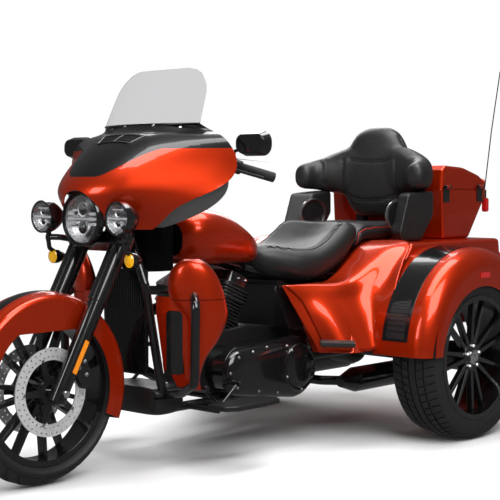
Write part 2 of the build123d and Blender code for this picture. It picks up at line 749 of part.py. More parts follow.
def frame():
    head = Plane(origin=steer_point(862), z_dir=STEER_DIR) * (
        Cylinder(HEAD_TUBE_R, 76, align=(Align.CENTER, Align.CENTER, Align.MIN))
        - Cylinder(STEM_R + RUN_GAP, 76, align=(Align.CENTER, Align.CENTER, Align.MIN))
    )
    neck = steer_point(890)
    backbone = tube(
        (
            (neck.X - 26, 0, neck.Z - 20),
            (430, 0, 800),
            (20, 0, 690),
            (-330, 0, 640),
        ),
        BACKBONE_R,
        90,
    )
    rails = tube(
        (
            (neck.X - 54, 14, neck.Z - 26),
            (606, 100, 655),
            (566, CRADLE_Y, 320),
            (536, CRADLE_Y, CRADLE_Z),
            (-190, CRADLE_Y, CRADLE_Z),
            (-275, CRADLE_Y, 345),
            (-262, CRADLE_Y, 600),
            (-330, 112, 640),
        ),
        FRAME_R,
        45,
    )
    seat_rail = tube(((0, 16, 688), (-170, 112, 640), (TRUNK_FRONT_X + SEAT_GAP, 112, 640)), FRAME_R, 90)
    ties = [rod_y(FRAME_R, -CRADLE_Y, CRADLE_Y, x, z) for x, z in ((500, CRADLE_Z), (-120, CRADLE_Z), (-268, 480))]
    rear_tie = rod_y(FRAME_R, -112, 112, TRUNK_FRONT_X + 40, 640)
    jack_plate = block((90, 210), (-CRADLE_Y, CRADLE_Y), (CRADLE_Z - FRAME_R, CRADLE_Z - FRAME_R + 8))
    keep("frame", head + backbone + both_sides(rails + seat_rail) + ties + rear_tie + jack_plate)
    half = NECK_COVER_HALF_W
    rear_x, front_x = NECK_COVER_X
    waist_x = (rear_x + front_x) / 2
    cover_plan = ((rear_x, half), (waist_x, half), (front_x, half * 0.66))
    cover_plan += tuple((x, -y) for x, y in reversed(cover_plan))
    keep("neck_cover", plan_prism(cover_plan, *NECK_COVER_Z, r=14) - NODES["frame"])
    cover_side = ((22, 622), (-285, 622), (-285, 560), (-150, 452), (-70, 452))
    cover = side_prism(cover_side, APRON_BACK_Y - 14, APRON_BACK_Y - 10, r=10)
    peg = rod_y(7, CRADLE_Y, APRON_BACK_Y - 12, -262, 600)
    keep("side_covers", both_sides(cover + peg) - NODES["frame"])


def engine():
    lower = CRADLE_Z + FRAME_R + 4
    points = (
        (CRANK_X + 120, lower + 40),
        (CRANK_X + 120, CRANK_Z + 60),
        (CRANK_X + 60, CRANK_Z + 138),
        (CRANK_X - 60, CRANK_Z + 138),
        (CRANK_X - 150, CRANK_Z + 150),
        (-190, CRANK_Z + 120),
        (-205, lower + 30),
        (-150, lower),
        (CRANK_X + 70, lower),
    )
    case = side_prism(points, -CASE_HALF_W, CASE_HALF_W, r=22)
    barrels = []
    rockers = []
    for tilt in (-CYLINDER_TILT, CYLINDER_TILT):
        place = Pos(CRANK_X, 0, CRANK_Z) * Rot(0, -tilt, 0)
        bore = Pos(0, 0, CYLINDER_BASE_S) * Cylinder(
            BARREL_R, HEAD_S - CYLINDER_BASE_S, align=(Align.CENTER, Align.CENTER, Align.MIN)
        )
        fin = extrude(RectangleRounded(FIN_SIZE, FIN_SIZE, 44), FIN_T)
        fins = [Pos(0, 0, CYLINDER_BASE_S + 8 + FIN_PITCH * k) * fin for k in range(FIN_COUNT)]
        head = Pos(0, 0, HEAD_S) * extrude(RectangleRounded(132, 142, 30), HEAD_H)
        head_fins = [
            Pos(0, 0, HEAD_S + 6 + FIN_PITCH * k) * extrude(RectangleRounded(156, 166, 34), FIN_T) for k in range(4)
        ]
        barrels.append(place * (bore + fins + head + head_fins) - case)
        cover = Pos(0, 0, HEAD_S + HEAD_H) * extrude(RectangleRounded(128, 150, 32), ROCKER_H, taper=9)
        rockers.append(place * cover)
    front_cut = block((CRANK_X, 900), (-200, 200), (0, 900))
    rear_cut = block((-900, CRANK_X), (-200, 200), (0, 900))
    rear_barrel, front_barrel = barrels[1], barrels[0]
    keep("engine_case", case)
    keep("cylinders", Compound([front_barrel & front_cut, rear_barrel & rear_cut]))
    keep("rocker_covers", Compound(rockers))


def tangent_hull(x0, z0, r0, x1, z1, r1, y_low, y_high):
    """Two discs and the web between them, as one plate."""
    dx = x1 - x0
    dz = z1 - z0
    length = (dx * dx + dz * dz) ** 0.5
    nx = -dz / length
    nz = dx / length
    web = (
        (x0 + nx * r0, z0 + nz * r0),
        (x1 + nx * r1, z1 + nz * r1),
        (x1 - nx * r1, z1 - nz * r1),
        (x0 - nx * r0, z0 - nz * r0),
    )
    return rod_y(r0, y_low, y_high, x0, z0) + rod_y(r1, y_low, y_high, x1, z1) + side_prism(web, y_low, y_high)


def engine_covers():
    side = CASE_HALF_W + SEAT_GAP
    hull = tangent_hull(
        CRANK_X, CRANK_Z, CRANK_COVER_R, CLUTCH_X, CLUTCH_Z, CLUTCH_COVER_R, side, PRIMARY_Y - 16
    )
    raised = tangent_hull(
        CRANK_X, CRANK_Z, CRANK_COVER_R - 16, CLUTCH_X, CLUTCH_Z, CLUTCH_COVER_R - 14, PRIMARY_Y - 20, PRIMARY_Y - 6
    )
    derby = rod_y(DERBY_R, PRIMARY_Y - 10, PRIMARY_Y, CLUTCH_X, CLUTCH_Z)
    cradle_room = block(
        (-600, 600), (0, CRADLE_Y + FRAME_R + SWING_GAP), (0, CRADLE_Z + FRAME_R + SWING_GAP)
    )
    primary = hull + raised + derby - cradle_room
    timing = rod_y(96, -CASE_HALF_W - 40, -side, CRANK_X - 10, CRANK_Z + 10)
    gearbox = side_prism(
        ((CRANK_X - 110, 262), (CRANK_X - 110, 430), (-150, 430), (-180, 262)), -CASE_HALF_W - 30, -side, r=24
    )
    keep("engine_covers", Compound([primary, timing + gearbox]))
    head_side = 83.0
    cleaner_z = CRANK_Z + HEAD_S * cos(radians(CYLINDER_TILT)) + 6
    cleaner = rod_y(88, -head_side - 92, -head_side - SEAT_GAP, CRANK_X, cleaner_z)
    keep("air_cleaner", fillet(cleaner.edges().group_by(Axis.Y)[0], 20))


def exhaust():
    port_x = CRANK_X + 168
    joint_x = -330.0
    header = tube(
        (
            (port_x, -40, 560),
            (port_x + 58, -120, 520),
            (port_x + 30, -168, 330),
            (port_x - 110, -182, 262),
            (-60, -200, 250),
            (joint_x, -MUFFLER_Y, MUFFLER_Z),
        ),
        21,
        40,
    )
    rear_header = tube(((70, -70, 540), (40, -150, 480), (0, -192, 330), (-90, -204, 250)), 19, 36)
    cross = tube(
        (
            (-250, -MUFFLER_Y + 12, MUFFLER_Z + 6),
            (-312, -150, MUFFLER_Z),
            (-312, 150, MUFFLER_Z),
            (joint_x - 40, MUFFLER_Y, MUFFLER_Z),
        ),
        19,
        40,
    )
    cans = []
    for y in (-MUFFLER_Y, MUFFLER_Y):
        body = rod_x(MUFFLER_R, -960, joint_x - 90, y, MUFFLER_Z)
        cone = Pos(joint_x - 90, y, MUFFLER_Z) * Rot(0, 90, 0) * Cone(
            MUFFLER_R, 22, 90, align=(Align.CENTER, Align.CENTER, Align.MIN)
        )
        tip = rod_x(MUFFLER_R - 8, -1010, -955, y, MUFFLER_Z) - rod_x(MUFFLER_R - 14, -1011, -970, y, MUFFLER_Z)
        cans += [body, cone, tip]
    keep("exhaust", header + rear_header + cross + cans - NODES["cylinders"] - NODES["rocker_covers"])


def front_panels():
    core = block((568, 602), (-76, 76), (335, 590))
    tabs = block((576, 596), (-112, 112), (440, 454))
    keep("radiator", core + tabs - NODES["frame"])
    wall = 5.0
    half = CRADLE_Y + FRAME_R + SEAT_GAP + wall
    bottom = CRADLE_Z - FRAME_R - SWING_GAP - wall
    shell = block((465, 600), (-half, half), (bottom, 292))
    inside = block((440, 600 - wall), (-half + wall, half - wall), (bottom + wall, 300))
    chin = fillet(shell.edges().filter_by(Axis.Z).group_by(Axis.X)[-1], 24) - inside
    arc = ThreePointArc(LOWER_FRONT, LOWER_MID, LOWER_REAR)
    bar_points = (
        (606, 108, 640),
        (560, 175, 640),
        (566, 300, 640),
        (604, 348, 596),
        (604, 342, 330),
        (572, 250, 286),
        (546, CRADLE_Y, 262),
    )
    guard = tube(bar_points, GUARD_R, 28)
    keep("engine_guard", both_sides(guard) - NODES["frame"])

    def skin(inner, outer, z_low, z_high):
        outer_arc = offset_2d_arc(arc, outer)
        inner_arc = offset_2d_arc(arc, inner)
        ends = [Line(outer_arc @ 1, inner_arc @ 1), Line(inner_arc @ 0, outer_arc @ 0)]
        return Pos(0, 0, z_low) * extrude(make_face(Curve() + [outer_arc, inner_arc] + ends), amount=z_high - z_low)

    def slot(gap):
        y_low, y_high = VENT_Y[0] + gap, VENT_Y[1] - gap
        z_low, z_high = VENT_Z[0] + gap, VENT_Z[1] - gap
        corners = ((y_low, z_low), (y_high, z_low), (y_high, z_high), (y_low, z_high))
        return front_prism(corners, 300, 700, r=18)

    def trimmed(inset):
        side_face = offset(Plane.XZ * make_face(outline(*LOWER_OUTLINE, r=14)), -inset)
        slope = tuple((y + inset, z - inset) for y, z in reversed(LOWER_SHOULDER))
        shoulder = ((140 + inset, 270), (420, 270), (420, 770), *slope, (140 + inset, 620))
        return (Pos(0, 500, 0) * extrude(side_face, amount=500)) & front_prism(shoulder, 300, 700)

    panel = skin(-LOWER_EDGE_DEPTH, LOWER_T, 270, 770) & trimmed(0)
    panel -= skin(-LOWER_EDGE_DEPTH - 1, 0, 270, 770) & trimmed(LOWER_EDGE_T)
    panel -= slot(0)
    hole = tube(bar_points, GUARD_R + SEAT_GAP, 28)
    keep("chin_cover", chin - both_sides(hole))
    keep("lower_fairings", both_sides(panel - hole))
    keep("lower_vents", both_sides((skin(1, LOWER_T - 2, 300, 620) & slot(SEAT_GAP)) - hole))


def offset_2d_arc(arc, distance):
    """An arc moved outwards from its centre by a distance."""
    centre = arc.arc_center
    scale_by = (arc.radius + distance) / arc.radius
    ends = [centre + (arc @ t - centre) * scale_by for t in (0, 0.5, 1)]
    return ThreePointArc(*ends)


def tank():
    def station(x, half_w, bottom, top):
        height = top - bottom
        face = Plane.YZ * RectangleRounded(2 * half_w, height, height * 0.42)
        return Pos(x, 0, bottom + height / 2) * face

    body = loft([station(*row) for row in TANK_STATIONS])
    tunnel = side_prism(
        ((600, 500), (600, 895), (430, 829), (20, 719), (-60, 716), (-60, 500)),
        -BACKBONE_R - SEAT_GAP,
        BACKBONE_R + SEAT_GAP,
    )
    above = tuple((x, z + 60) for x, z in reversed(TANK_TOP_LINE))
    low_gap = tuple((x, z - SEAT_GAP) for x, z in TANK_TOP_LINE)
    half = CONSOLE_HALF_W
    channel = side_prism(low_gap + above, -half - SEAT_GAP, half + SEAT_GAP)
    keep("fuel_tank", body - tunnel - channel)
    cap_line = tuple((x, z + h) for (x, z), h in zip(reversed(TANK_TOP_LINE), (20, 24, 26, 22)))
    keep("tank_console", side_prism(TANK_TOP_LINE + cap_line, -half, half))


def seats():
    def station(x, half_w, bottom, top, corner):
        face = Plane.YZ * RectangleRounded(2 * half_w, top - bottom, corner)
        return Pos(x, 0, (bottom + top) / 2) * face

    rider = loft([station(*row) for row in SEAT_STATIONS])
    rider = rider - NODES["frame"] - NODES["rear_body"]
    base = TRUNK_TOP_Z + SEAT_GAP
    pillion = block(PILLION_X, (-PILLION_HALF_W, PILLION_HALF_W), (base, PILLION_TOP_Z))
    keep("seat", Compound([rider, fillet(pillion.edges().group_by(Axis.Z)[-1], 26)]))
    side = ((-846, 865), (-872, 1080), (-898, 1268), (-930, 1268), (-936, 1080), (-930, 865))
    front = BACKREST_EDGE + tuple((-y, z) for y, z in reversed(BACKREST_EDGE))
    pad = side_prism(side, -300, 300, r=12) & front_prism(front, -1000, -800, r=16)

    def section(x, y, z, turn, half_h, half_d):
        towards = (sin(radians(turn)), cos(radians(turn)), 0)
        return Plane(origin=(x, y, z), x_dir=(0, 0, 1), z_dir=towards) * Ellipse(half_h, half_d)

    wing = loft([section(*row) for row in WING_SECTIONS])
    wing = fillet(wing.faces().sort_by(Axis.X)[-1].edges(), WING_END_R)
    stay = [block((-926, -896), (y - 20, y + 20), (base, 880)) for y in (-100, 100)]
    keep("backrest", pad + both_sides(wing) + stay)


def luggage():
    half = BOX_HALF_W
    wall = BOX_WALL
    bottom = TRUNK_TOP_Z + SEAT_GAP
    tray_side = ((-960, bottom), (-945, BOX_SEAM_Z), (BOX_REAR_X, BOX_SEAM_Z), (-1160, bottom))
    tray = side_prism(tray_side, -half, half)
    rounding = plan_prism(((-900, half), (BOX_REAR_X, half), (BOX_REAR_X, -half), (-900, -half)), 700, 1200, r=44)
    inner_side = (
        (-960 - wall, bottom + wall),
        (-945 - wall, BOX_SEAM_Z + 1),
        (BOX_REAR_X + wall, BOX_SEAM_Z + 1),
        (-1160 + wall, bottom + wall),
    )
    inner_round = plan_prism(
        ((-900, half - wall), (BOX_REAR_X + wall, half - wall), (BOX_REAR_X + wall, wall - half), (-900, wall - half)),
        700,
        1200,
        r=40,
    )
    box = (tray & rounding) - (side_prism(inner_side, wall - half, half - wall) & inner_round)
    keep("luggage_box", box)
    base = BOX_SEAM_Z + SEAT_GAP
    lid_side = (
        (-945, base),
        (-952, LID_TOP_Z - 20),
        (-978, LID_TOP_Z),
        (-1120, LID_TOP_Z - 8),
        (-1240, LID_TOP_Z - 40),
        (BOX_REAR_X, base + 22),
        (BOX_REAR_X, base),
    )
    lid_inner = (
        (-945 - wall, base - 1),
        (-952 - wall, LID_TOP_Z - 20 - wall),
        (-978, LID_TOP_Z - wall),
        (-1120, LID_TOP_Z - 8 - wall),
        (-1240, LID_TOP_Z - 40 - wall),
        (BOX_REAR_X + wall, base + 22 - wall),
        (BOX_REAR_X + wall, base - 1),
    )
    lid = (side_prism(lid_side, -half, half) & rounding) - (
        side_prism(lid_inner, wall - half, half - wall) & inner_round
    )
    hinges = []
    for x in LID_HINGE_X:
        ends = (x - HINGE_L / 2, x + HINGE_L / 2)
        middle = (x - HINGE_L / 2 + KNUCKLE_L + KNUCKLE_GAP, x + HINGE_L / 2 - KNUCKLE_L - KNUCKLE_GAP)
        barrel = rod_x(KNUCKLE_R, *middle, LID_PIN_Y, LID_PIN_Z)
        web = block(middle, (half - 1, half + LEAF_T), (LID_PIN_Z - PIN_R, LID_PIN_Z + PIN_R))
        lid = lid + barrel + web - rod_x(PIN_R + RUN_GAP, *ends, LID_PIN_Y, LID_PIN_Z)
        hinge = rod_x(PIN_R, *ends, LID_PIN_Y, LID_PIN_Z)
        outside = (half + SEAT_GAP, half + SEAT_GAP + LEAF_T)
        hinge += block(ends, outside, (BOX_SEAM_Z - 56, BOX_SEAM_Z - 3))
        for end in ((ends[0], ends[0] + KNUCKLE_L), (ends[1] - KNUCKLE_L, ends[1])):
            hinge += rod_x(KNUCKLE_R, *end, LID_PIN_Y, LID_PIN_Z)
            hinge += block(end, outside, (BOX_SEAM_Z - 4, LID_PIN_Z))
        hinges.append(hinge)
    keep("luggage_lid", lid)
    keep("lid_hinges", Compound(hinges))
    slope = (BOX_REAR_X + 1160) / (BOX_SEAM_Z - bottom)
    wall_line = [(BOX_REAR_X - (BOX_SEAM_Z - z) * slope - SEAT_GAP, z) for z in (945, 985)]
    foot = side_prism((*wall_line, (REAR_END_X + 2, 985), (REAR_END_X + 2, 945)), 262, 278)
    whip = tube(((REAR_END_X + 7, 270, 975), (REAR_END_X + 6, 304, 1250), (REAR_END_X + 3, 344, 1512)), 2.5, 60)
    keep("antenna", foot + whip)


def speaker_pods():
    base = TRUNK_TOP_Z + SEAT_GAP

    def side(y, toe):
        front = ((-628 - toe, base), (-612 - toe, 812), (-672 - toe, 972))
        rear = ((-857, 984), (-857, 880), (-770, base))
        return Pos(0, y, 0) * (Plane.XZ * make_face(outline(*front, *rear, r=16)))

    pod = loft([side(POD_Y[0], POD_TOE), side(POD_Y[1], 0)], ruled=True)
    keep("speaker_pods", both_sides(pod) - NODES["backrest"])


# Rear body, fenders and trunk door


REAR_FACE = Plane(
    origin=(TRUNK_REAR_X, 0, TRUNK_FLOOR_Z),
    x_dir=(0, -1, 0),
    z_dir=(-cos(radians(DOOR_LEAN_DEG)), 0, sin(radians(DOOR_LEAN_DEG))),
)
REAR_FACE_H = (TRUNK_TOP_Z - TRUNK_FLOOR_Z) / cos(radians(DOOR_LEAN_DEG))
REAR_TOP_X = TRUNK_REAR_X + (TRUNK_TOP_Z - TRUNK_FLOOR_Z) * tan(radians(DOOR_LEAN_DEG))


def apron_body(inset):
    """The apron as a flared block; with an inset, the room inside it, open below and behind."""
    back_y = APRON_BACK_Y - 8 * inset
    low_z, high_z = APRON_Z
    sections = []
    for z, at in ((low_z - inset, 0), (high_z - inset, 2)):
        edge = [(row[at] - 1.2 * inset, row[at + 1] - 1.4 * inset) for row in APRON_CORNERS]
        points = (*edge, (edge[-1][0], back_y), (edge[0][0] - 24, back_y))
        sections.append(Pos(0, 0, z) * make_face(outline(*points)))
    return loft(sections, ruled=True)


def rear_body():
    w = TRUNK_WALL
    side = (
        (TRUNK_FRONT_X + 40, TRUNK_FLOOR_Z),
        (TRUNK_REAR_X, TRUNK_FLOOR_Z),
        (REAR_TOP_X, TRUNK_TOP_Z),
        (-560, TRUNK_TOP_Z),
        (TRUNK_FRONT_X, 660),
        (TRUNK_FRONT_X, 560),
    )
    inner = (
        (TRUNK_FRONT_X + 40 - w, TRUNK_FLOOR_Z + w),
        (TRUNK_REAR_X - 20, TRUNK_FLOOR_Z + w),
        (REAR_TOP_X - 20, TRUNK_TOP_Z - w),
        (-560 - w, TRUNK_TOP_Z - w),
        (TRUNK_FRONT_X - w, 660 - w),
        (TRUNK_FRONT_X - w, 560),
    )
    half = TRUNK_HALF_W
    tub = side_prism(side, -half, half) - side_prism(inner, w - half, half - w)
    lip = REAR_FACE * Pos(0, REAR_FACE_H / 2, -w) * (
        Box(2 * half - 2, REAR_FACE_H - 2, 2 * w)
        - Box(2 * DOOR_HALF_W - 40, REAR_FACE_H - 60, 3 * w)
    )
    lip = lip & side_prism(side, -half, half)
    apron = apron_body(0) - apron_body(APRON_T)
    shoulder_side = (
        (-262, APRON_Z[1] - 8),
        (-365, 690),
        (-545, TRUNK_TOP_Z),
        (-562, TRUNK_TOP_Z),
        (TRUNK_FRONT_X - 3, 660),
        (TRUNK_FRONT_X - 3, APRON_Z[1] - 20),
        (-300, APRON_Z[1] - 20),
    )
    inner_y = SEAT_STATIONS[4][1] + 1
    shoulder_plan = ((-255, inner_y), (-255, 292), (-476, half), (-562, half), (-562, inner_y))
    shoulder = side_prism(shoulder_side, inner_y, half) & plan_prism(shoulder_plan, 500, 800)
    keep("rear_body", tub + lip + both_sides(apron + shoulder) - NODES["frame"])


def fender_profile(r_out, y_out, corner):
    """Half of a fender's section: a crown, a rounded shoulder and an outer wall."""
    foot_r = ARCH_OPENING_R - 80
    crown = Line((r_out, ARCH_INNER_Y), (r_out, y_out - corner))
    shoulder = ThreePointArc(
        (r_out, y_out - corner),
        (r_out - corner * (1 - cos(radians(45))), y_out - corner * (1 - sin(radians(45)))),
        (r_out - corner, y_out),
    )
    wall = Line((r_out - corner, y_out), (foot_r, y_out))
    foot = Line((foot_r, y_out), (foot_r, ARCH_INNER_Y))
    inner = Line((foot_r, ARCH_INNER_Y), (r_out, ARCH_INNER_Y))
    return make_face(Curve() + [crown, shoulder, wall, foot, inner])


def rear_fenders():
    cx, cz = ARCH_CENTRE
    place = Pos(cx, 0, cz)
    out_y = OVERALL_WIDTH / 2 - MARKER_T
    outer = revolve(fender_profile(ARCH_R, out_y, ARCH_EDGE_R), Axis.Y, -180)
    inner = revolve(fender_profile(ARCH_R - ARCH_T, out_y - ARCH_T, ARCH_EDGE_R - ARCH_T), Axis.Y, -180)
    opening = rod_y(ARCH_OPENING_R, ARCH_INNER_Y - 1, out_y + 1, REAR_AXLE_X, REAR_TYRE_R)
    tread_room = rod_y(REAR_TYRE_R + 16, ARCH_INNER_Y - 1, out_y - ARCH_T, REAR_AXLE_X, REAR_TYRE_R)
    shell = place * (outer - inner) - opening - tread_room
    band_y = (TRUNK_HALF_W + 45, TRUNK_HALF_W + 163)
    band_r = (ARCH_R + SEAT_GAP, ARCH_R + 3)
    band = ((band_r[0], band_y[0]), (band_r[1], band_y[0]), (band_r[1], band_y[1]), (band_r[0], band_y[1]))
    trim = place * Rot(0, -8, 0) * revolve(make_face(Polyline(*band, close=True)), Axis.Y, -84)
    keep("rear_fenders", both_sides(shell))
    keep("fender_trim", both_sides(trim))


def trunk_door():
    low = DOOR_LOW
    high = REAR_FACE_H - 14
    slab = RectangleRounded(2 * DOOR_HALF_W, high - low, 26)
    door = Pos(0, (low + high) / 2, SEAT_GAP) * extrude(slab, DOOR_T)
    up, out = DOOR_PIN
    hinges = []
    for x in (-DOOR_HINGE_Y, DOOR_HINGE_Y):
        ends = (x - HINGE_L / 2, x + HINGE_L / 2)
        middle = (x - HINGE_L / 2 + KNUCKLE_L + KNUCKLE_GAP, x + HINGE_L / 2 - KNUCKLE_L - KNUCKLE_GAP)
        barrel = rod_x(KNUCKLE_R, *middle, up, out)
        web = block(middle, (up, low + 1), (out - LEAF_T, out + LEAF_T))
        door = door + barrel + web - rod_x(PIN_R + RUN_GAP, *ends, up, out)
        hinge = rod_x(PIN_R, *ends, up, out)
        for end in ((ends[0], ends[0] + KNUCKLE_L), (ends[1] - KNUCKLE_L, ends[1])):
            hinge += rod_x(KNUCKLE_R, *end, up, out)
            hinge += block(end, (up - 4, up + 4), (SEAT_GAP, out))
        hinges.append(REAR_FACE * hinge)
    keep("trunk_door", REAR_FACE * door)
    keep("door_hinges", Compound(hinges))
    lamp = extrude(RectangleRounded(38, 190, 16), 14)
    lamps_pair = [
        REAR_FACE * Pos(y, REAR_FACE_H * 0.55, SEAT_GAP) * lamp for y in (-TRUNK_HALF_W + 24, TRUNK_HALF_W - 24)
    ]
    marker_y = (OVERALL_WIDTH / 2 - MARKER_T + SEAT_GAP, OVERALL_WIDTH / 2)
    marker = block((REAR_AXLE_X - 32, REAR_AXLE_X + 32), marker_y, (643, 665))
    keep("rear_lamps", Compound(lamps_pair + [marker, mirror(marker, about=Plane.XZ)]))


# Running gear and controls


def running_gear():
    tube_part = rod_y(AXLE_TUBE_R, -AXLE_HALF, AXLE_HALF, REAR_AXLE_X, REAR_TYRE_R)
    shaft_half = REAR_TRACK / 2 + 62
    shafts = rod_y(REAR_SHAFT_R, -shaft_half, shaft_half, REAR_AXLE_X, REAR_TYRE_R)
    bowl = rod_y(78, -70, 70, REAR_AXLE_X, REAR_TYRE_R)
    keep("rear_axle", tube_part + shafts + fillet(bowl.edges(), 26))
    pivot = rod_y(18, -CRADLE_Y, CRADLE_Y, -262, 318)
    arms = [rod_x(22, REAR_AXLE_X, -262, y, 320) for y in (-88, 88)]
    posts = [
        Pos(REAR_AXLE_X + 70, y, 320) * Cylinder(
            18, TRUNK_FLOOR_Z - 320 - SEAT_GAP, align=(Align.CENTER, Align.CENTER, Align.MIN)
        )
        for y in (-88, 88)
    ]
    keep("swingarm", pivot + arms + posts - NODES["frame"] - NODES["rear_axle"])


def foot_rests():
    board = plan_prism(((205, 282), (205, 385), (300, 400), (440, 398), (484, 372), (484, 282)), 221, 238, r=12)
    pegs = [rod_y(10, CRADLE_Y, 300, x, CRADLE_Z) for x in (345, 440)]
    keep("footboards", both_sides(board + pegs) - NODES["frame"] - NODES["chin_cover"])
    pivot = rod_y(8, CRADLE_Y, 262, 392, CRADLE_Z)
    lever = tube(((296, 258, 288), (392, 258, CRADLE_Z + 4), (476, 258, 292)), 7, 18)
    pads = [rod_y(11, 236, 276, x, z) for x, z in ((298, 288), (474, 292))]
    keep("foot_controls", both_sides(pivot + lever + pads) - NODES["frame"] - NODES["footboards"])
    low, high = PASSENGER_BOARD_Z
    corners = APRON_CORNERS[0:3:2]
    inner_edge = [(x + SEAT_GAP, y + SEAT_GAP) for x, y, _, _ in corners]
    outer_edge = [(x + PASSENGER_BOARD_W * 0.76, y + PASSENGER_BOARD_W * 0.65) for x, y in reversed(inner_edge)]
    rest = plan_prism(inner_edge + outer_edge, low, high) - NODES["rear_body"]
    keep("passenger_footboards", both_sides(rest))


# Build every piece
front_wheel()
rear_wheels()
fork()
yokes()
front_fender()
handlebar()
fairing()
screen()
lamps()
brake_calipers()
frame()
engine()
engine_covers()
exhaust()
front_panels()
tank()
rear_body()
rear_fenders()
trunk_door()
seats()
luggage()
speaker_pods()
running_gear()
foot_rests()

for name, shape in NODES.items():
    export_step(scale(shape, SIZE), f"parts/{name}.step")
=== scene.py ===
"""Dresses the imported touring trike: paint, leather, rubber, lamps, engine detail and the studio around it.

Everything is in metres in the model's own frame: +X forward, +Y to the rider's left, +Z up.
"""

import json
from contextlib import contextmanager
from math import cos, pi, radians, sin, sqrt

import bmesh
import bpy
import numpy as np
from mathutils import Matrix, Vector
from mathutils.bvhtree import BVHTree


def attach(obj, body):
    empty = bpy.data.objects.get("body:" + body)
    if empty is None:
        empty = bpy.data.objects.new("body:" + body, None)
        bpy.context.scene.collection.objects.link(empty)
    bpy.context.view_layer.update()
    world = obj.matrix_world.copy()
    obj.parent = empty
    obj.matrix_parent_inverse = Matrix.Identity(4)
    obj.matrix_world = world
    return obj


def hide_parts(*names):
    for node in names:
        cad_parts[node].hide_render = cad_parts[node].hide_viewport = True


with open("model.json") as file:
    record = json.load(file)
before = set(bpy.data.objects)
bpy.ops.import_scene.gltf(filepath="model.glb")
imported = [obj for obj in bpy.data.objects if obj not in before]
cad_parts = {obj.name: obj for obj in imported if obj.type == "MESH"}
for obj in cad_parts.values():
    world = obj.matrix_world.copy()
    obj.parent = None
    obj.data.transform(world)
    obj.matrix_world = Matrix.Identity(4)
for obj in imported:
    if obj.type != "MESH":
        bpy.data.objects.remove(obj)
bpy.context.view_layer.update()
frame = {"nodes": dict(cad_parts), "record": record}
NODES = frame["nodes"]
BODY_OF = {node: body for body, members in frame["record"]["behaviour"]["bodies"].items() for node in members}
SLOT_OF = {sub["node"]: sub["material_slot"] for sub in frame["record"]["subparts"]}
MM = 0.001

# Driving sizes, as in the part's source
FRONT_AXLE = Vector((1.0, 0.0, 0.319))
REAR_AXLE = Vector((-0.67, 0.0, 0.325))
REAR_WHEEL_Y = 0.572
CRANK = Vector((0.215, 0.0, 0.325))
CLUTCH = Vector((-0.096, 0.205, 0.306))
FORK_TILT = radians(29.25)
HEADLAMP = Vector((0.818, 0.0, 0.893))
AUX_LAMP = Vector((0.830, 0.198, 0.898))
SIGNAL = Vector((0.776, 0.202, 0.755))

# Camera of the photograph
PHOTO_SIZE = 500
CAMERA_AT = (3.7793, 3.4866, 1.0218)
CAMERA_YAW = radians(-137.711)
CAMERA_PITCH = radians(-3.057)
FOCAL_PX = 1314.444
PRINCIPAL_PX = (250.084, 251.862)
SENSOR = 36.0


# Shader maths


class Value:
    """A shader socket that takes part in Python sums."""

    def __init__(self, finish, socket):
        self.finish = finish
        self.socket = socket

    def maths(self, operation, *others):
        """A Math node on this value and others."""
        inputs = dict(enumerate((self, *others)))
        return self.finish.add("ShaderNodeMath", {"operation": operation}, inputs)

    def __add__(self, other):
        return self.maths("ADD", other)

    __radd__ = __add__

    def __mul__(self, other):
        return self.maths("MULTIPLY", other)

    __rmul__ = __mul__

    def __sub__(self, other):
        return self.maths("SUBTRACT", other)

    def __rsub__(self, other):
        return (self * -1) + other

    def __abs__(self):
        return self.maths("ABSOLUTE")

    def __pow__(self, other):
        return self.maths("POWER", other)

    def ramp(self, low, high):
        """A soft step from 0 at one value to 1 at another."""
        inputs = {"Value": self, "From Min": low, "From Max": high}
        return self.finish.add("ShaderNodeMapRange", {"interpolation_type": "SMOOTHSTEP"}, inputs)

    def above(self, edge, soft):
        """1 where the value is over an edge, 0 under it, with a soft step."""
        return self.ramp(edge - soft, edge + soft)

    def below(self, edge, soft):
        """0 where the value is over an edge, 1 under it, with a soft step."""
        return 1 - self.above(edge, soft)


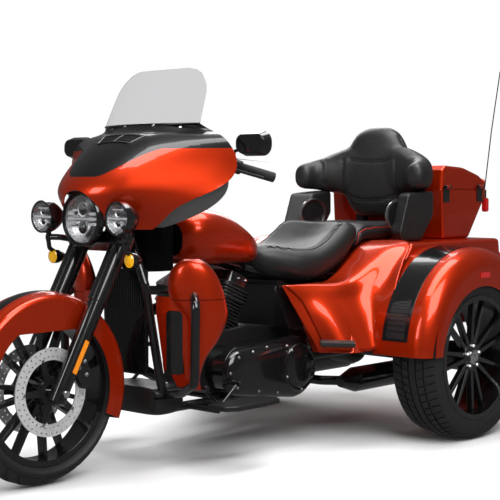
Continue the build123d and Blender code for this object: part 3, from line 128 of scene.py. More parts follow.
class Finish:
    """One material: a Principled surface and the nodes that feed it."""

    def __init__(self, name):
        self.material = bpy.data.materials.new(name)
        self.material.use_nodes = True
        self.tree = self.material.node_tree
        self.tree.nodes.clear()
        self.output = self.tree.nodes.new("ShaderNodeOutputMaterial")
        self.surface = self.tree.nodes.new("ShaderNodeBsdfPrincipled")
        self.tree.links.new(self.surface.outputs[0], self.output.inputs[0])

    def add(self, kind, settings=(), inputs=(), output=0):
        """A node of a kind, with its settings made first and then its sockets' values or links."""
        node = self.tree.nodes.new(kind)
        for key, value in dict(settings).items():
            setattr(node, key, value)
        for key, value in dict(inputs).items():
            self.feed(node.inputs[key], value)
        return Value(self, node.outputs[output])

    def feed(self, socket, value):
        """Links a value to a socket, or sets the socket to a plain number or colour."""
        if isinstance(value, Value):
            self.tree.links.new(value.socket, socket)
        elif isinstance(value, (tuple, list)) and len(value) == 3 and socket.type == "RGBA":
            socket.default_value = (*value, 1.0)
        else:
            socket.default_value = value

    def place(self):
        """Object coordinates as a vector."""
        return self.add("ShaderNodeTexCoord", output="Object")

    def axes(self):
        """Object coordinates as three values."""
        place = self.place()
        return [self.add("ShaderNodeSeparateXYZ", (), {0: place}, k) for k in range(3)]

    def noise(self, scale, detail=3.0, roughness=0.5):
        """Cloudy noise over the piece."""
        inputs = {"Scale": scale, "Detail": detail, "Roughness": roughness, "Vector": self.place()}
        return self.add("ShaderNodeTexNoise", (), inputs)

    def mix(self, factor, low, high):
        """A colour between two, by a factor."""
        return self.add("ShaderNodeMix", {"data_type": "RGBA"}, {0: factor, 6: low, 7: high}, 2)

    def bump(self, height, distance, strength):
        """A surface direction from a height."""
        inputs = {"Height": height, "Distance": distance, "Strength": strength}
        return self.add("ShaderNodeBump", (), inputs)

    def set(self, **inputs):
        """Sets or links the surface's inputs, named with low lines for spaces."""
        for key, value in inputs.items():
            self.feed(self.surface.inputs[key.replace("_", " ")], value)
        return self


MATERIALS = {}


def finish(name):
    """A new material, kept by its name."""
    made = Finish(name)
    MATERIALS[name] = made.material
    return made


# Paints, metals, leather and rubber

RED = (0.66, 0.040, 0.0008)
RED_DEEP = (0.40, 0.014, 0.0004)
BLACK = (0.004, 0.004, 0.0045)
FLAKE_METAL = 0.75
# Soft edge between red and black paint
PAINT_EDGE = 0.001
# Black inlay on the fairing: where its tongue starts and ends, how far it dips and its lowest height
TONGUE_HALF = (0.060, 0.220)
TONGUE_DIP = 0.098
TONGUE_Z = 1.038
# Half width of the black band on the front fender, and the start of the tank's black front face
FENDER_BAND = 0.024
TANK_FACE_X = 0.4395


def red_lacquer(made, black_mask=None):
    """Metallic orange-red under clear lacquer, with gloss black where the mask is 1."""
    flake = made.noise(2600.0, 2.0, 0.6)
    cloud = made.noise(7.0, 2.0)
    red = made.mix(flake * 0.7 + cloud * 0.3, RED_DEEP, RED)
    metal = FLAKE_METAL
    if black_mask is not None:
        red = made.mix(black_mask, red, BLACK)
        metal = black_mask * -FLAKE_METAL + FLAKE_METAL
    peel = made.bump(made.noise(95.0, 1.0), 0.0002, 0.05)
    made.set(Base_Color=red, Metallic=metal, Roughness=flake * 0.08 + 0.30, Normal=peel)
    made.set(Coat_Weight=0.6, Coat_Roughness=0.03, Specular_IOR_Level=0.25)
    return made


def fairing_paint():
    """The fairing's red, with the gloss-black inlay that dips to a tongue in the middle."""
    made = finish("fairing_paint")
    _, y, z = made.axes()
    tongue = abs(y).ramp(*TONGUE_HALF) * TONGUE_DIP + TONGUE_Z
    return red_lacquer(made, z.above(tongue, PAINT_EDGE))


def front_fender_paint():
    """The front fender's red, with a gloss-black band along its crown."""
    made = finish("front_fender_paint")
    _, y, _ = made.axes()
    return red_lacquer(made, abs(y).below(FENDER_BAND, PAINT_EDGE))


def tank_paint():
    """The tank's red, black on the front face behind the steering head."""
    made = finish("tank_paint")
    x, _, _ = made.axes()
    return red_lacquer(made, x.above(TANK_FACE_X, PAINT_EDGE))


def grained(name, dark, light, scale, roughness, spread, depth, strength):
    """A plain finish with a fine grain in its colour, gloss and surface."""
    made = finish(name)
    grain = made.noise(scale, 3.0)
    made.set(Base_Color=made.mix(grain, dark, light))
    made.set(Roughness=grain * spread + roughness, Normal=made.bump(grain, depth, strength))
    return made


def make_materials():
    """Every finish of the trike, by name."""
    red_lacquer(finish("red_paint"))
    fairing_paint()
    front_fender_paint()
    tank_paint()

    made = grained("black_gloss", BLACK, (0.007, 0.007, 0.0075), 60.0, 0.14, 0.06, 0.0002, 0.06)
    made.set(Coat_Weight=0.6, Coat_Roughness=0.03)
    grained("black_satin", (0.007, 0.007, 0.0075), (0.013, 0.013, 0.0135), 900.0, 0.34, 0.14, 0.0003, 0.2)
    grained("inner_grey", (0.045, 0.045, 0.046), (0.065, 0.065, 0.067), 1200.0, 0.36, 0.1, 0.0002, 0.2)
    grained("engine_black", (0.005, 0.005, 0.0055), (0.013, 0.013, 0.0135), 1300.0, 0.30, 0.2, 0.0004, 0.35)
    grained("rubber_black", (0.008, 0.008, 0.008), (0.014, 0.014, 0.014), 500.0, 0.55, 0.2, 0.0004, 0.3)
    grained("tyre_black", (0.008, 0.008, 0.008), (0.016, 0.016, 0.016), 380.0, 0.50, 0.2, 0.0003, 0.25)

    made = grained("polished", (0.78, 0.78, 0.79), (0.86, 0.86, 0.87), 35.0, 0.05, 0.08, 0.0001, 0.05)
    made.set(Metallic=1.0)
    # Lamp reflectors: the metal's colour is darkened, with dark and light patches as painted reflections of
    # faceted chrome
    made = grained("lamp_mirror", (0.16, 0.16, 0.165), (0.62, 0.62, 0.63), 120.0, 0.08, 0.20, 0.003, 0.8)
    made.set(Metallic=1.0)
    made = grained("machined", (0.58, 0.58, 0.59), (0.74, 0.74, 0.75), 700.0, 0.20, 0.15, 0.0001, 0.1)
    made.set(Metallic=1.0)
    made = grained("steel", (0.50, 0.50, 0.50), (0.62, 0.62, 0.62), 260.0, 0.36, 0.14, 0.0001, 0.1)
    made.set(Metallic=0.35)

    made = finish("leather")
    voronoi = {"Scale": 420.0, "Vector": made.place()}
    cells = made.add("ShaderNodeTexVoronoi", {"feature": "SMOOTH_F1"}, voronoi, "Distance")
    crease = made.noise(45.0, 4.0)
    made.set(Base_Color=made.mix(crease, (0.008, 0.008, 0.0085), (0.016, 0.0155, 0.0155)))
    made.set(Roughness=crease * 0.16 + 0.36, Normal=made.bump(cells + crease * 0.5, 0.0005, 0.30))

    # Near-black matte of painted shade: inside the fairing's air opening, in the chin slots and cowl seams,
    # and on the neck cover under the fairing
    made = grained("vent_dark", (0.001, 0.001, 0.001), (0.003, 0.003, 0.003), 300.0, 0.7, 0.2, 0.0002, 0.1)
    made.set(Specular_IOR_Level=0.1)
    # Grille: its holes are near-black against the bars, painted shade inside them; also used on the speaker
    # cones
    made = finish("grille_black")
    net = {"Scale": 170.0, "Randomness": 0.0, "Vector": made.place()}
    cells = made.add("ShaderNodeTexVoronoi", {"feature": "DISTANCE_TO_EDGE"}, net, "Distance")
    mesh = cells.ramp(0.10, 0.22)
    made.set(Base_Color=made.mix(mesh, (0.010, 0.010, 0.011), (0.001, 0.001, 0.001)))
    made.set(Roughness=mesh * 0.4 + 0.16, Normal=made.bump(1 - mesh, 0.001, 0.6))
    grained("red_piping", (0.30, 0.010, 0.004), (0.42, 0.016, 0.006), 900.0, 0.4, 0.1, 0.0003, 0.3)

    # The screen's grey colour is painted reflection of the dark surroundings; the screen itself is clear
    made = grained("clear_screen", (0.62, 0.62, 0.63), (0.66, 0.66, 0.67), 3.0, 0.02, 0.02, 0.0001, 0.02)
    made.set(Transmission_Weight=1.0, IOR=1.12)
    made = grained("clear_lens", (0.95, 0.95, 0.96), (0.98, 0.98, 0.99), 8.0, 0.01, 0.02, 0.0001, 0.02)
    made.set(Transmission_Weight=1.0, IOR=1.15)
    made = grained("amber_lens", (0.80, 0.33, 0.004), (0.95, 0.55, 0.01), 160.0, 0.08, 0.05, 0.0006, 0.4)
    made.set(Coat_Weight=1.0)
    made = grained("orange_lens", (0.70, 0.19, 0.003), (0.85, 0.28, 0.006), 300.0, 0.10, 0.05, 0.0004, 0.3)
    made.set(Coat_Weight=1.0)
    made = grained("red_lens", (0.40, 0.006, 0.005), (0.56, 0.012, 0.010), 160.0, 0.08, 0.05, 0.0006, 0.4)
    made.set(Coat_Weight=1.0)


make_materials()


# Pieces and meshes

SLOTS = {entry["slot"] for entry in frame["record"]["materials"]}
# Finishes that share a slot of the record
SLOT_FOR = {
    "machined": "polished",
    "inner_grey": "black_satin",
    "fairing_paint": "red_paint",
    "front_fender_paint": "red_paint",
    "tank_paint": "red_paint",
    "red_piping": "red_paint",
    "clear_lens": "lamp_glass",
    "lamp_mirror": "polished",
    "vent_dark": "black_satin",
    "grille_black": "black_satin",
    "orange_lens": "amber_lens",
}


def material_slot(material):
    """The record's slot that a finish belongs to."""
    return material if material in SLOTS else SLOT_FOR[material]


def link(name, mesh):
    """A new object for a mesh, in the scene."""
    piece = bpy.data.objects.new(name, mesh)
    bpy.context.scene.collection.objects.link(piece)
    return piece


def paint(mesh, *materials):
    """Gives a mesh its finishes."""
    mesh.materials.clear()
    for material in materials:
        mesh.materials.append(MATERIALS[material])


def dress(piece, body, slot, *nodes):
    """Says which body a piece moves with and which CAD nodes it stands for; slot is not used."""
    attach(piece, body)
    if nodes:
        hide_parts(*nodes)
    return piece


def put(name, mesh, material, body, *nodes):
    """A mesh as a finished piece on a body."""
    mesh.name = name
    paint(mesh, material)
    return dress(link(name, mesh), body, material_slot(material), *nodes)


@contextmanager
def edited(mesh):
    """A mesh opened for changes, which are written back to it."""
    bm = bmesh.new()
    bm.from_mesh(mesh)
    yield bm
    bm.to_mesh(mesh)
    bm.free()


def shade(mesh, angle=35.0):
    """Smooth shading, with an edge kept sharp where its faces turn by more than an angle."""
    with edited(mesh) as bm:
        for face in bm.faces:
            face.smooth = True
        for edge in bm.edges:
            edge.smooth = edge.calc_face_angle(0.0) < radians(angle)
    return mesh


def joined_mesh(node):
    """A CAD node's loose triangles as one joined mesh with its flats merged."""
    source = NODES[node].data
    mesh = bpy.data.meshes.new("skin_" + node)
    mesh.from_pydata([v.co[:] for v in source.vertices], [], [p.vertices[:] for p in source.polygons])
    with edited(mesh) as bm:
        bmesh.ops.remove_doubles(bm, verts=bm.verts, dist=2e-5)
        bmesh.ops.dissolve_limit(bm, angle_limit=radians(0.1), verts=bm.verts, edges=bm.edges)
    return mesh


def evaluated(piece):
    """The mesh that a piece's modifiers give."""
    return bpy.data.meshes.new_from_object(piece.evaluated_get(bpy.context.evaluated_depsgraph_get()))


def softened(mesh, rounds, voxel=None):
    """A mesh with its corners and small folds softened, as an even net where a voxel is given."""
    holder = link("soft", mesh)
    if voxel:
        net = holder.modifiers.new("net", "REMESH")
        net.mode = "VOXEL"
        net.voxel_size = voxel
    soft = holder.modifiers.new("soft", "SMOOTH")
    soft.factor = 0.5
    soft.iterations = rounds
    result = evaluated(holder)
    bpy.data.objects.remove(holder)
    return result


def mark_broad(mesh, least):
    """Marks the edges between faces that are wide enough for a broad rounding."""
    with edited(mesh) as bm:
        weight = bm.edges.layers.float.new("bevel_weight_edge")
        for edge in bm.edges:
            if len(edge.link_faces) == 2 and edge.calc_face_angle() > radians(8):
                width = min(face.calc_area() for face in edge.link_faces) / edge.calc_length()
                edge[weight] = 1.0 if width > least else 0.0


def rounded(piece, width, segments, marked=False):
    """Rounds a piece's marked edges, or all its sharp ones."""
    bevel = piece.modifiers.new("rounded", "BEVEL")
    bevel.limit_method = "WEIGHT" if marked else "ANGLE"
    bevel.angle_limit = radians(32)
    bevel.width = width
    bevel.segments = segments
    bevel.use_clamp_overlap = False
    return bevel


def skin(node, material, ease, edge=None):
    """Stands for a CAD node: the same shape with smooth curves and eased edges."""
    mesh = joined_mesh(node)
    paint(mesh, *([material, edge] if edge else [material]))
    piece = link("skin_" + node, mesh)
    if node in BROAD:
        mark_broad(mesh, 2.2 * BROAD[node] * MM)
        rounded(piece, BROAD[node] * MM, 4, True)
        mesh = evaluated(piece)
        piece.modifiers.clear()
        piece.data = mesh
    shade(mesh)
    if ease:
        rounded(piece, ease * MM, 2).material = 1 if edge else -1
    even = piece.modifiers.new("even", "WEIGHTED_NORMAL")
    even.keep_sharp = True
    return dress(piece, BODY_OF[node], SLOT_OF[node], node)


def grid_mesh(name, points, wrap_rows=False, wrap_columns=True):
    """A mesh of quads over a grid of points, rows by columns, with either direction closed into a ring."""
    rows, columns, _ = points.shape
    index = np.arange(rows * columns).reshape(rows, columns)
    if wrap_rows:
        index = np.vstack([index, index[:1]])
    if wrap_columns:
        index = np.hstack([index, index[:, :1]])
    quads = np.stack([index[:-1, :-1], index[1:, :-1], index[1:, 1:], index[:-1, 1:]], axis=-1)
    mesh = bpy.data.meshes.new(name)
    mesh.from_pydata(points.reshape(-1, 3).tolist(), [], quads.reshape(-1, 4).tolist())
    with edited(mesh) as bm:
        bmesh.ops.remove_doubles(bm, verts=bm.verts, dist=1e-6)
        bmesh.ops.recalc_face_normals(bm, faces=bm.faces)
    return mesh


def lathe(name, axis, centre, profile, steps=64):
    """A turned shape about the X or Y axis through a centre, from a closed profile of (along, radius)."""
    turn = np.linspace(0, 2 * pi, steps, endpoint=False)
    along, r = np.array(profile).T
    main = "XY".index(axis)
    points = np.empty((len(r), steps, 3))
    points[..., main] = centre[main] + along[:, None]
    points[..., 1 - main] = centre[1 - main] + r[:, None] * np.cos(turn)
    points[..., 2] = centre[2] + r[:, None] * np.sin(turn)
    return grid_mesh(name, points, wrap_rows=True)


def bow(start, middle, end, count):
    """Points along the bowed line through three points of a plane."""
    a, b, c = (np.array(point) for point in (start, middle, end))
    t = np.linspace(-1, 1, count)[:, None]
    return (b + (c - a) / 2 * t + ((a + c) / 2 - b) * t**2).tolist()


def wire(name, points, radius, closed=False):
    """A round bar of a radius along a smooth line through points."""
    curve = bpy.data.curves.new(name, "CURVE")
    curve.dimensions = "3D"
    curve.bevel_depth = radius
    curve.bevel_resolution = 3
    curve.use_fill_caps = not closed
    spline = curve.splines.new("BEZIER")
    spline.bezier_points.add(len(points) - 1)
    for knot, point in zip(spline.bezier_points, points):
        knot.co = point
        knot.handle_left_type = knot.handle_right_type = "AUTO"
    spline.use_cyclic_u = closed
    spline.resolution_u = 6
    holder = link(name, curve)
    mesh = evaluated(holder)
    bpy.data.objects.remove(holder)
    return shade(mesh, 50)


def join(name, meshes):
    """Several meshes as one."""
    joined = bpy.data.meshes.new(name)
    with edited(joined) as bm:
        for mesh in meshes:
            bm.from_mesh(mesh)
    return joined


def mirrored(mesh):
    """A mesh and its mirror image across the middle plane, as one mesh."""
    other = mesh.copy()
    with edited(other) as bm:
        for vert in bm.verts:
            vert.co.y = -vert.co.y
        bmesh.ops.reverse_faces(bm, faces=bm.faces)
    return join("pair", [mesh, other])


def both(line):
    """A line and its mirror image across the middle plane."""
    return [line, [(x, -y, z) for x, y, z in line]]


def dense(points, count=40):
    """An even row of points along the straight runs between a few."""
    points = np.array(points)
    t = np.linspace(0, len(points) - 1, count)
    base = np.arange(len(points))
    return np.stack([np.interp(t, base, points[:, k]) for k in range(3)], axis=-1).tolist()


def smooth_rows(table, count):
    """More rows between a table's rows, on smooth curves through them."""
    table = np.array(table)
    t = np.linspace(0, len(table) - 1, count)
    k = np.clip(t.astype(int), 0, len(table) - 2)
    u = (t - k)[:, None]
    padded = np.vstack([2 * table[0] - table[1], table, 2 * table[-1] - table[-2]])
    a, b, c, d = (padded[k + shift] for shift in range(4))
    return b + 0.5 * u * (c - a + u * (2 * a - 5 * b + 4 * c - d + u * (3 * (b - c) + d - a)))


def smooth_patch(grid, rows, columns):
    """A smooth sheet through a grid of points, with more rows and columns between them."""
    grid = np.array(grid)
    count = len(grid)
    tall = smooth_rows(grid.reshape(count, -1), rows).reshape(rows, -1, 3)
    wide = smooth_rows(tall.transpose(1, 0, 2).reshape(grid.shape[1], -1), columns)
    return wide.reshape(columns, rows, 3).transpose(1, 0, 2)


def filled(mesh):
    """A tube with its ends closed and its faces outwards."""
    with edited(mesh) as bm:
        bmesh.ops.holes_fill(bm, edges=bm.edges, sides=0)
        bmesh.ops.recalc_face_normals(bm, faces=bm.faces)
    return mesh


def squared(turn, power):
    """A rounded square's two coordinates around a full turn."""
    c, s = np.cos(turn), np.sin(turn)
    return np.sign(c) * np.abs(c) ** (2 / power), np.sign(s) * np.abs(s) ** (2 / power)


def long_form(table, power):
    """A closed form along X: full sides, with a bowl between them where the table has one."""
    across, up = squared(np.linspace(0, 2 * pi, 64, endpoint=False), power)
    rows = []
    for x, half, bottom, top, dip in smooth_rows(table, 60):
        y = half * across
        z = (bottom + top) / 2 + (top - bottom) / 2 * up
        z -= dip * np.clip(up, 0, 1) * np.clip(1 - (across / 0.80) ** 2, 0, 1)
        rows.append(np.stack([np.full_like(y, x), y, z], axis=-1))
    return filled(grid_mesh("long_form", np.array(rows)))


class Surface:
    """A mesh to lay lines and bolts on, found by rays."""

    def __init__(self, mesh):
        points = [vert.co for vert in mesh.vertices]
        self.tree = BVHTree.FromPolygons(points, [face.vertices[:] for face in mesh.polygons])

    def hit(self, start, direction):
        """The first point that a ray meets, and the surface's direction there."""
        spot, normal, _, _ = self.tree.ray_cast(Vector(start), Vector(direction))
        return spot, normal

    def line(self, starts, direction, lift):
        """Points a little over the surface where rays from a row of starts meet it."""
        hits = [self.hit(start, direction) for start in starts]
        return [spot + normal * lift for spot, normal in hits if spot]

    def nearest(self, spots, lift):
        """Points a little over the surface, nearest to a row of spots."""
        found = [self.tree.find_nearest(Vector(spot)) for spot in spots]
        return [hit[0] + hit[1] * lift for hit in found]


# Pieces that repeat


def sized_tree(name, sizes):
    """An empty tree of geometry nodes with a mesh in and out, named sizes and a finish."""
    tree = bpy.data.node_groups.new(name, "GeometryNodeTree")
    face = tree.interface
    face.new_socket("Geometry", in_out="INPUT", socket_type="NodeSocketGeometry")
    for size, kind in sizes:
        face.new_socket(size, in_out="INPUT", socket_type=kind)
    face.new_socket("Finish", in_out="INPUT", socket_type="NodeSocketMaterial")
    face.new_socket("Geometry", in_out="OUTPUT", socket_type="NodeSocketGeometry")
    return tree


def wired(tree, kind, settings=(), inputs=()):
    """A node of a tree, with its settings made and its sockets linked or set."""
    node = tree.nodes.new(kind)
    for key, value in dict(settings).items():
        setattr(node, key, value)
    for key, value in dict(inputs).items():
        if isinstance(value, bpy.types.NodeSocket):
            tree.links.new(value, node.inputs[key])
        else:
            node.inputs[key].default_value = value
    return node


def finish_tree(tree, given, instances):
    """Ends a tree: instances made real and given their finish."""
    real = wired(tree, "GeometryNodeRealizeInstances", (), {0: instances})
    inputs = {"Geometry": real.outputs[0], "Material": given.outputs["Finish"]}
    done = wired(tree, "GeometryNodeSetMaterial", (), inputs)
    wired(tree, "NodeGroupOutput", (), {0: done.outputs[0]})
    return tree


def bolt_tree():
    """A bolt head with a sloped rim on every point, along the point's own normal."""
    sizes = (("Radius", "NodeSocketFloat"), ("Height", "NodeSocketFloat"), ("Sides", "NodeSocketInt"))
    tree = sized_tree("bolt_heads", sizes)
    given = wired(tree, "NodeGroupInput")
    radius, height, sides = (given.outputs[size] for size, _ in sizes)
    shank_h = wired(tree, "ShaderNodeMath", {"operation": "MULTIPLY"}, {0: height, 1: 0.7})
    top_r = wired(tree, "ShaderNodeMath", {"operation": "MULTIPLY"}, {0: radius, 1: 0.72})
    top_h = wired(tree, "ShaderNodeMath", {"operation": "MULTIPLY"}, {0: height, 1: 0.3})

    def turned(top, depth):
        inputs = {"Vertices": sides, "Radius Top": top, "Radius Bottom": radius, "Depth": depth.outputs[0]}
        return wired(tree, "GeometryNodeMeshCone", (), inputs)

    shank = turned(radius, shank_h)
    cap = turned(top_r.outputs[0], top_h)
    lift = wired(tree, "ShaderNodeCombineXYZ", (), {"Z": shank_h.outputs[0]})
    inputs = {"Geometry": cap.outputs[0], "Translation": lift.outputs[0]}
    raised = wired(tree, "GeometryNodeTransform", (), inputs)
    head = wired(tree, "GeometryNodeJoinGeometry")
    tree.links.new(shank.outputs[0], head.inputs[0])
    tree.links.new(raised.outputs[0], head.inputs[0])
    along = wired(tree, "GeometryNodeInputNamedAttribute", {"data_type": "FLOAT_VECTOR"}, {"Name": "along"})
    turn = wired(tree, "FunctionNodeAlignRotationToVector", {"axis": "Z"}, {"Vector": along.outputs[0]})
    inputs = {"Points": given.outputs[0], "Instance": head.outputs[0], "Rotation": turn.outputs[0]}
    placed = wired(tree, "GeometryNodeInstanceOnPoints", (), inputs)
    return finish_tree(tree, given, placed.outputs[0])


def disc_tree():
    """A flat ring with rings of drilled holes, made thick."""
    lengths = ("Outer", "Inner", "Thickness", "Hole", "First", "Second")
    sizes = [(size, "NodeSocketFloat") for size in lengths] + [("Holes", "NodeSocketInt")]
    tree = sized_tree("drilled_ring", sizes)
    given = wired(tree, "NodeGroupInput")
    outer, inner, thick, hole, first, second, holes = (given.outputs[size] for size, _ in sizes)

    def circle(corners, radius):
        return wired(tree, "GeometryNodeCurvePrimitiveCircle", (), {"Resolution": corners, "Radius": radius})

    drill = circle(10, hole)
    edges = wired(tree, "GeometryNodeJoinGeometry")
    for radius in (outer, inner):
        tree.links.new(circle(96, radius).outputs[0], edges.inputs[0])
    for ring, phase in ((first, 0.0), (second, pi / 40)):
        pattern = circle(holes, ring)
        inputs = {"Geometry": pattern.outputs[0], "Rotation": (0.0, 0.0, phase)}
        turned = wired(tree, "GeometryNodeTransform", (), inputs)
        inputs = {"Points": turned.outputs[0], "Instance": drill.outputs[0]}
        points = wired(tree, "GeometryNodeInstanceOnPoints", (), inputs)
        tree.links.new(points.outputs[0], edges.inputs[0])
    flat = wired(tree, "GeometryNodeRealizeInstances", (), {0: edges.outputs[0]})
    face = wired(tree, "GeometryNodeFillCurve", (), {"Curve": flat.outputs[0]})
    inputs = {"Mesh": face.outputs[0], "Offset Scale": thick, "Individual": False}
    solid = wired(tree, "GeometryNodeExtrudeMesh", (), inputs)
    both = wired(tree, "GeometryNodeJoinGeometry")
    back = wired(tree, "GeometryNodeFlipFaces", (), {0: face.outputs[0]})
    tree.links.new(solid.outputs[0], both.inputs[0])
    tree.links.new(back.outputs[0], both.inputs[0])
    return finish_tree(tree, given, both.outputs[0])


BOLTS = bolt_tree()
DRILLED = disc_tree()


def grown(name, mesh, tree, material, **sizes):
    """The plain mesh that a tree makes from a mesh and named sizes."""
    holder = link(name, mesh)
    modifier = holder.modifiers.new("made", "NODES")
    modifier.node_group = tree
    sockets = {item.name: item.identifier for item in tree.interface.items_tree if item.in_out == "INPUT"}
    for size, value in sizes.items():
        modifier[sockets[size]] = value
    modifier[sockets["Finish"]] = MATERIALS[material]
    result = evaluated(holder)
    bpy.data.objects.remove(holder)
    result.name = name
    return result


def bolts(name, body, spots, radius, height, material="machined", sides=12):
    """Bolt heads on a body, at spots of (place, direction)."""
    mesh = bpy.data.meshes.new(name)
    mesh.from_pydata([tuple(place) for place, _ in spots], [], [])
    along = mesh.attributes.new("along", "FLOAT_VECTOR", "POINT")
    along.data.foreach_set("vector", np.array([tuple(direction) for _, direction in spots]).ravel())
    heads = grown(name, mesh, BOLTS, material, Radius=radius, Height=height, Sides=sides)
    return dress(link(name, shade(heads, 30)), body, material_slot(material))


# Skins over the CAD nodes: node, finish, eased edge in mm, and the edge's own finish where it is bright
SKINS = (
    ("frame", "black_gloss", 0.0),
    # The neck cover takes the near-black matte: painted shade in the space under the fairing
    ("neck_cover", "vent_dark", 3.0),
    ("side_covers", "black_gloss", 0.8),
    ("lid_hinges", "black_gloss", 0.6),
    ("door_hinges", "black_gloss", 0.6),
    ("engine_case", "engine_black", 3.0),
    ("cylinders", "engine_black", 0.9, "machined"),
    ("rocker_covers", "black_gloss", 1.6, "machined"),
    ("engine_covers", "black_gloss", 2.0),
    ("air_cleaner", "black_gloss", 1.5),
    ("exhaust", "black_gloss", 0.0),
    ("radiator", "black_satin", 1.0),
    ("engine_guard", "black_gloss", 0.0),
    ("lower_vents", "black_gloss", 0.8),
    ("fuel_tank", "tank_paint", 2.0),
    ("tank_console", "black_gloss", 1.6),
    ("rear_body", "red_paint", 1.6),
    ("rear_fenders", "red_paint", 1.4),
    ("fender_trim", "black_gloss", 0.8),
    ("rear_lamps", "red_lens", 0.8),
    ("rear_axle", "engine_black", 1.5),
    ("swingarm", "engine_black", 1.5),
    ("footboards", "black_satin", 2.0),
    ("passenger_footboards", "rubber_black", 3.0),
    ("foot_controls", "black_gloss", 1.0),
    ("luggage_box", "red_paint", 1.2),
    ("luggage_lid", "red_paint", 1.2),
    ("antenna", "black_satin", 0.0),
    ("trunk_door", "red_paint", 1.6),
    ("fork_legs", "black_gloss", 1.2),
    ("fork_yokes", "black_gloss", 2.0),
    ("front_fender", "front_fender_paint", 1.0),
    ("handlebar", "black_gloss", 0.0),
    ("grips", "rubber_black", 1.5),
    ("hand_controls", "black_satin", 1.0),
    ("mirrors", "black_gloss", 2.5),
    ("fairing", "fairing_paint", 1.2),
    ("fairing_inner", "inner_grey", 1.2),
    ("windshield", "clear_screen", 0.8),
    ("lamp_bar", "black_gloss", 0.8),
    ("brake_calipers", "black_satin", 1.5),
    ("front_axle", "polished", 1.0),
    ("front_wheel", "black_gloss", 1.0),
    ("rear_wheel_left", "black_gloss", 1.4),
    ("rear_wheel_right", "black_gloss", 1.4),
)

# Broad roundings of the edges between wide faces, in mm
BROAD = {
    "rear_body": 18.0,
    "luggage_box": 12.0,
    "luggage_lid": 16.0,
    "trunk_door": 8.0,
    "neck_cover": 8.0,
    "engine_case": 8.0,
    "air_cleaner": 8.0,
}

for row in SKINS:
    skin(*row)


# Tyres


def tread_tyre(node, centre, radius, width, bead_r, bead_w, drop, ribs, pitches, slot_part, slant, depth):
    """A tyre with grooves around it between ribs, and slanted slots across the ribs that say so.

    ribs lists (inner y, outer y, slotted) from the middle outwards. A pitch is one block and one slot.
    """
    shoulder_r = radius - drop
    shoulder_y = width * 0.46

    def crown(y, down=0.0):
        return (y, radius - drop * (y / shoulder_y) ** 2 - down, 0)

    rows = []
    for inner, outer, slotted in ribs:
        spans = np.linspace(inner, outer, 4)
        rows.append(crown(inner, depth))
        rows += [(*crown(y)[:2], slotted) for y in spans]
        rows.append(crown(outer, depth))
    rows = [row for row in rows if row[0] > 0.0005]
    wall = bow((shoulder_r, shoulder_y), ((bead_r + shoulder_r) / 2, width / 2), (bead_r, bead_w / 2), 9)
    rows = [row for row in rows if row[0] < shoulder_y - 0.0005] + [(y, r, 0) for r, y in wall]
    rows = [(-y, r, s) for y, r, s in reversed(rows)] + rows
    rows += [(bead_w / 2 - 0.012, bead_r, 0), (0.012 - bead_w / 2, bead_r, 0)]
    y, r, slotted = np.array(rows).T
    pitch = 2 * pi / pitches
    edge = pitch * 0.015
    columns = np.array([0.0, pitch * (1 - slot_part), pitch * (1 - slot_part) + edge, pitch - edge])
    turn = (np.arange(pitches)[:, None] * pitch + columns).ravel()
    sunk = np.tile([0.0, 0.0, depth, depth], pitches)
    turns = turn[None, :] + (np.abs(y) / width * slant)[:, None]
    radii = r[:, None] - slotted[:, None] * sunk[None, :]
    across = np.broadcast_to(y[:, None], radii.shape)
    points = np.stack([radii * np.cos(turns), across, radii * np.sin(turns)], axis=-1)
    mesh = shade(grid_mesh("tread_" + node, points + np.array(centre), wrap_rows=True), 40)
    return put("tread_" + node, mesh, "tyre_black", BODY_OF[node], node)


FRONT_TREAD = {
    "radius": 0.319,
    "width": 0.130,
    "bead_r": 0.254,
    "bead_w": 0.088,
    "drop": 0.036,
    "ribs": ((0.0, 0.009, 0), (0.009, 0.0100, 0), (0.0100, 0.052, 1)),
    "pitches": 34,
    "slot_part": 0.20,
    "slant": 0.55,
    "depth": 0.0045,
}
REAR_TREAD = {
    "radius": 0.325,
    "width": 0.215,
    "bead_r": 0.248,
    "bead_w": 0.188,
    "drop": 0.014,
    "ribs": ((0.0, 0.013, 0), (0.020, 0.047, 1), (0.055, 0.0985, 1)),
    "pitches": 62,
    "slot_part": 0.16,
    "slant": 0.22,
    "depth": 0.0065,
}

tread_tyre("front_tyre", FRONT_AXLE, **FRONT_TREAD)
for side, node in ((1, "rear_tyre_left"), (-1, "rear_tyre_right")):
    tread_tyre(node, REAR_AXLE + Vector((0, side * REAR_WHEEL_Y, 0)), **REAR_TREAD)


# Wheels, discs and brakes

# How far the rear hub's face stands out from the wheel's middle, and its ring of lug nuts
HUB_FACE = 0.066
LUG_RING_R = 0.043
# Rear hub's cap: out from the face, radius
HUB_CAP = (
    (-0.004, 0.0),
    (-0.004, 0.029),
    (0.003, 0.0305),
    (0.010, 0.029),
    (0.013, 0.022),
    (0.0115, 0.0165),
    (0.0115, 0.012),
    (0.0135, 0.008),
    (0.0145, 0.0),
)
# Drilled discs: inner face from the middle, and the sizes of a disc and its two rings of holes
DISC_Y = 0.0555
DISC_T = 0.005
DISC_SIZES = {"Outer": 0.150, "Inner": 0.108, "Thickness": DISC_T, "Hole": 0.0032}
DISC_HOLES = {"First": 0.140, "Second": 0.120, "Holes": 40}
# Carrier: hub's inner and outer radius, arms' (radius, half width) at both ends, their faces, and the pins
CARRIER_R = (0.026, 0.044)
ARM_ENDS = ((0.040, 0.014), (0.114, 0.009))
ARM_FACES = (0.0005, 0.0045)
ARM_COUNT = 5
PIN_RING_R = 0.1125
BOX_FACES = ((3, 2, 1, 0), (4, 5, 6, 7), (0, 1, 5, 4), (1, 2, 6, 5), (2, 3, 7, 6), (3, 0, 4, 7))


def ring_spots(centre, normal, radius, count, phase=0.0):
    """Spots around a circle on a plane across Y, for bolts."""
    turns = [phase + 2 * pi * k / count for k in range(count)]
    return [(Vector(centre) + Vector((radius * cos(t), 0, radius * sin(t))), normal) for t in turns]


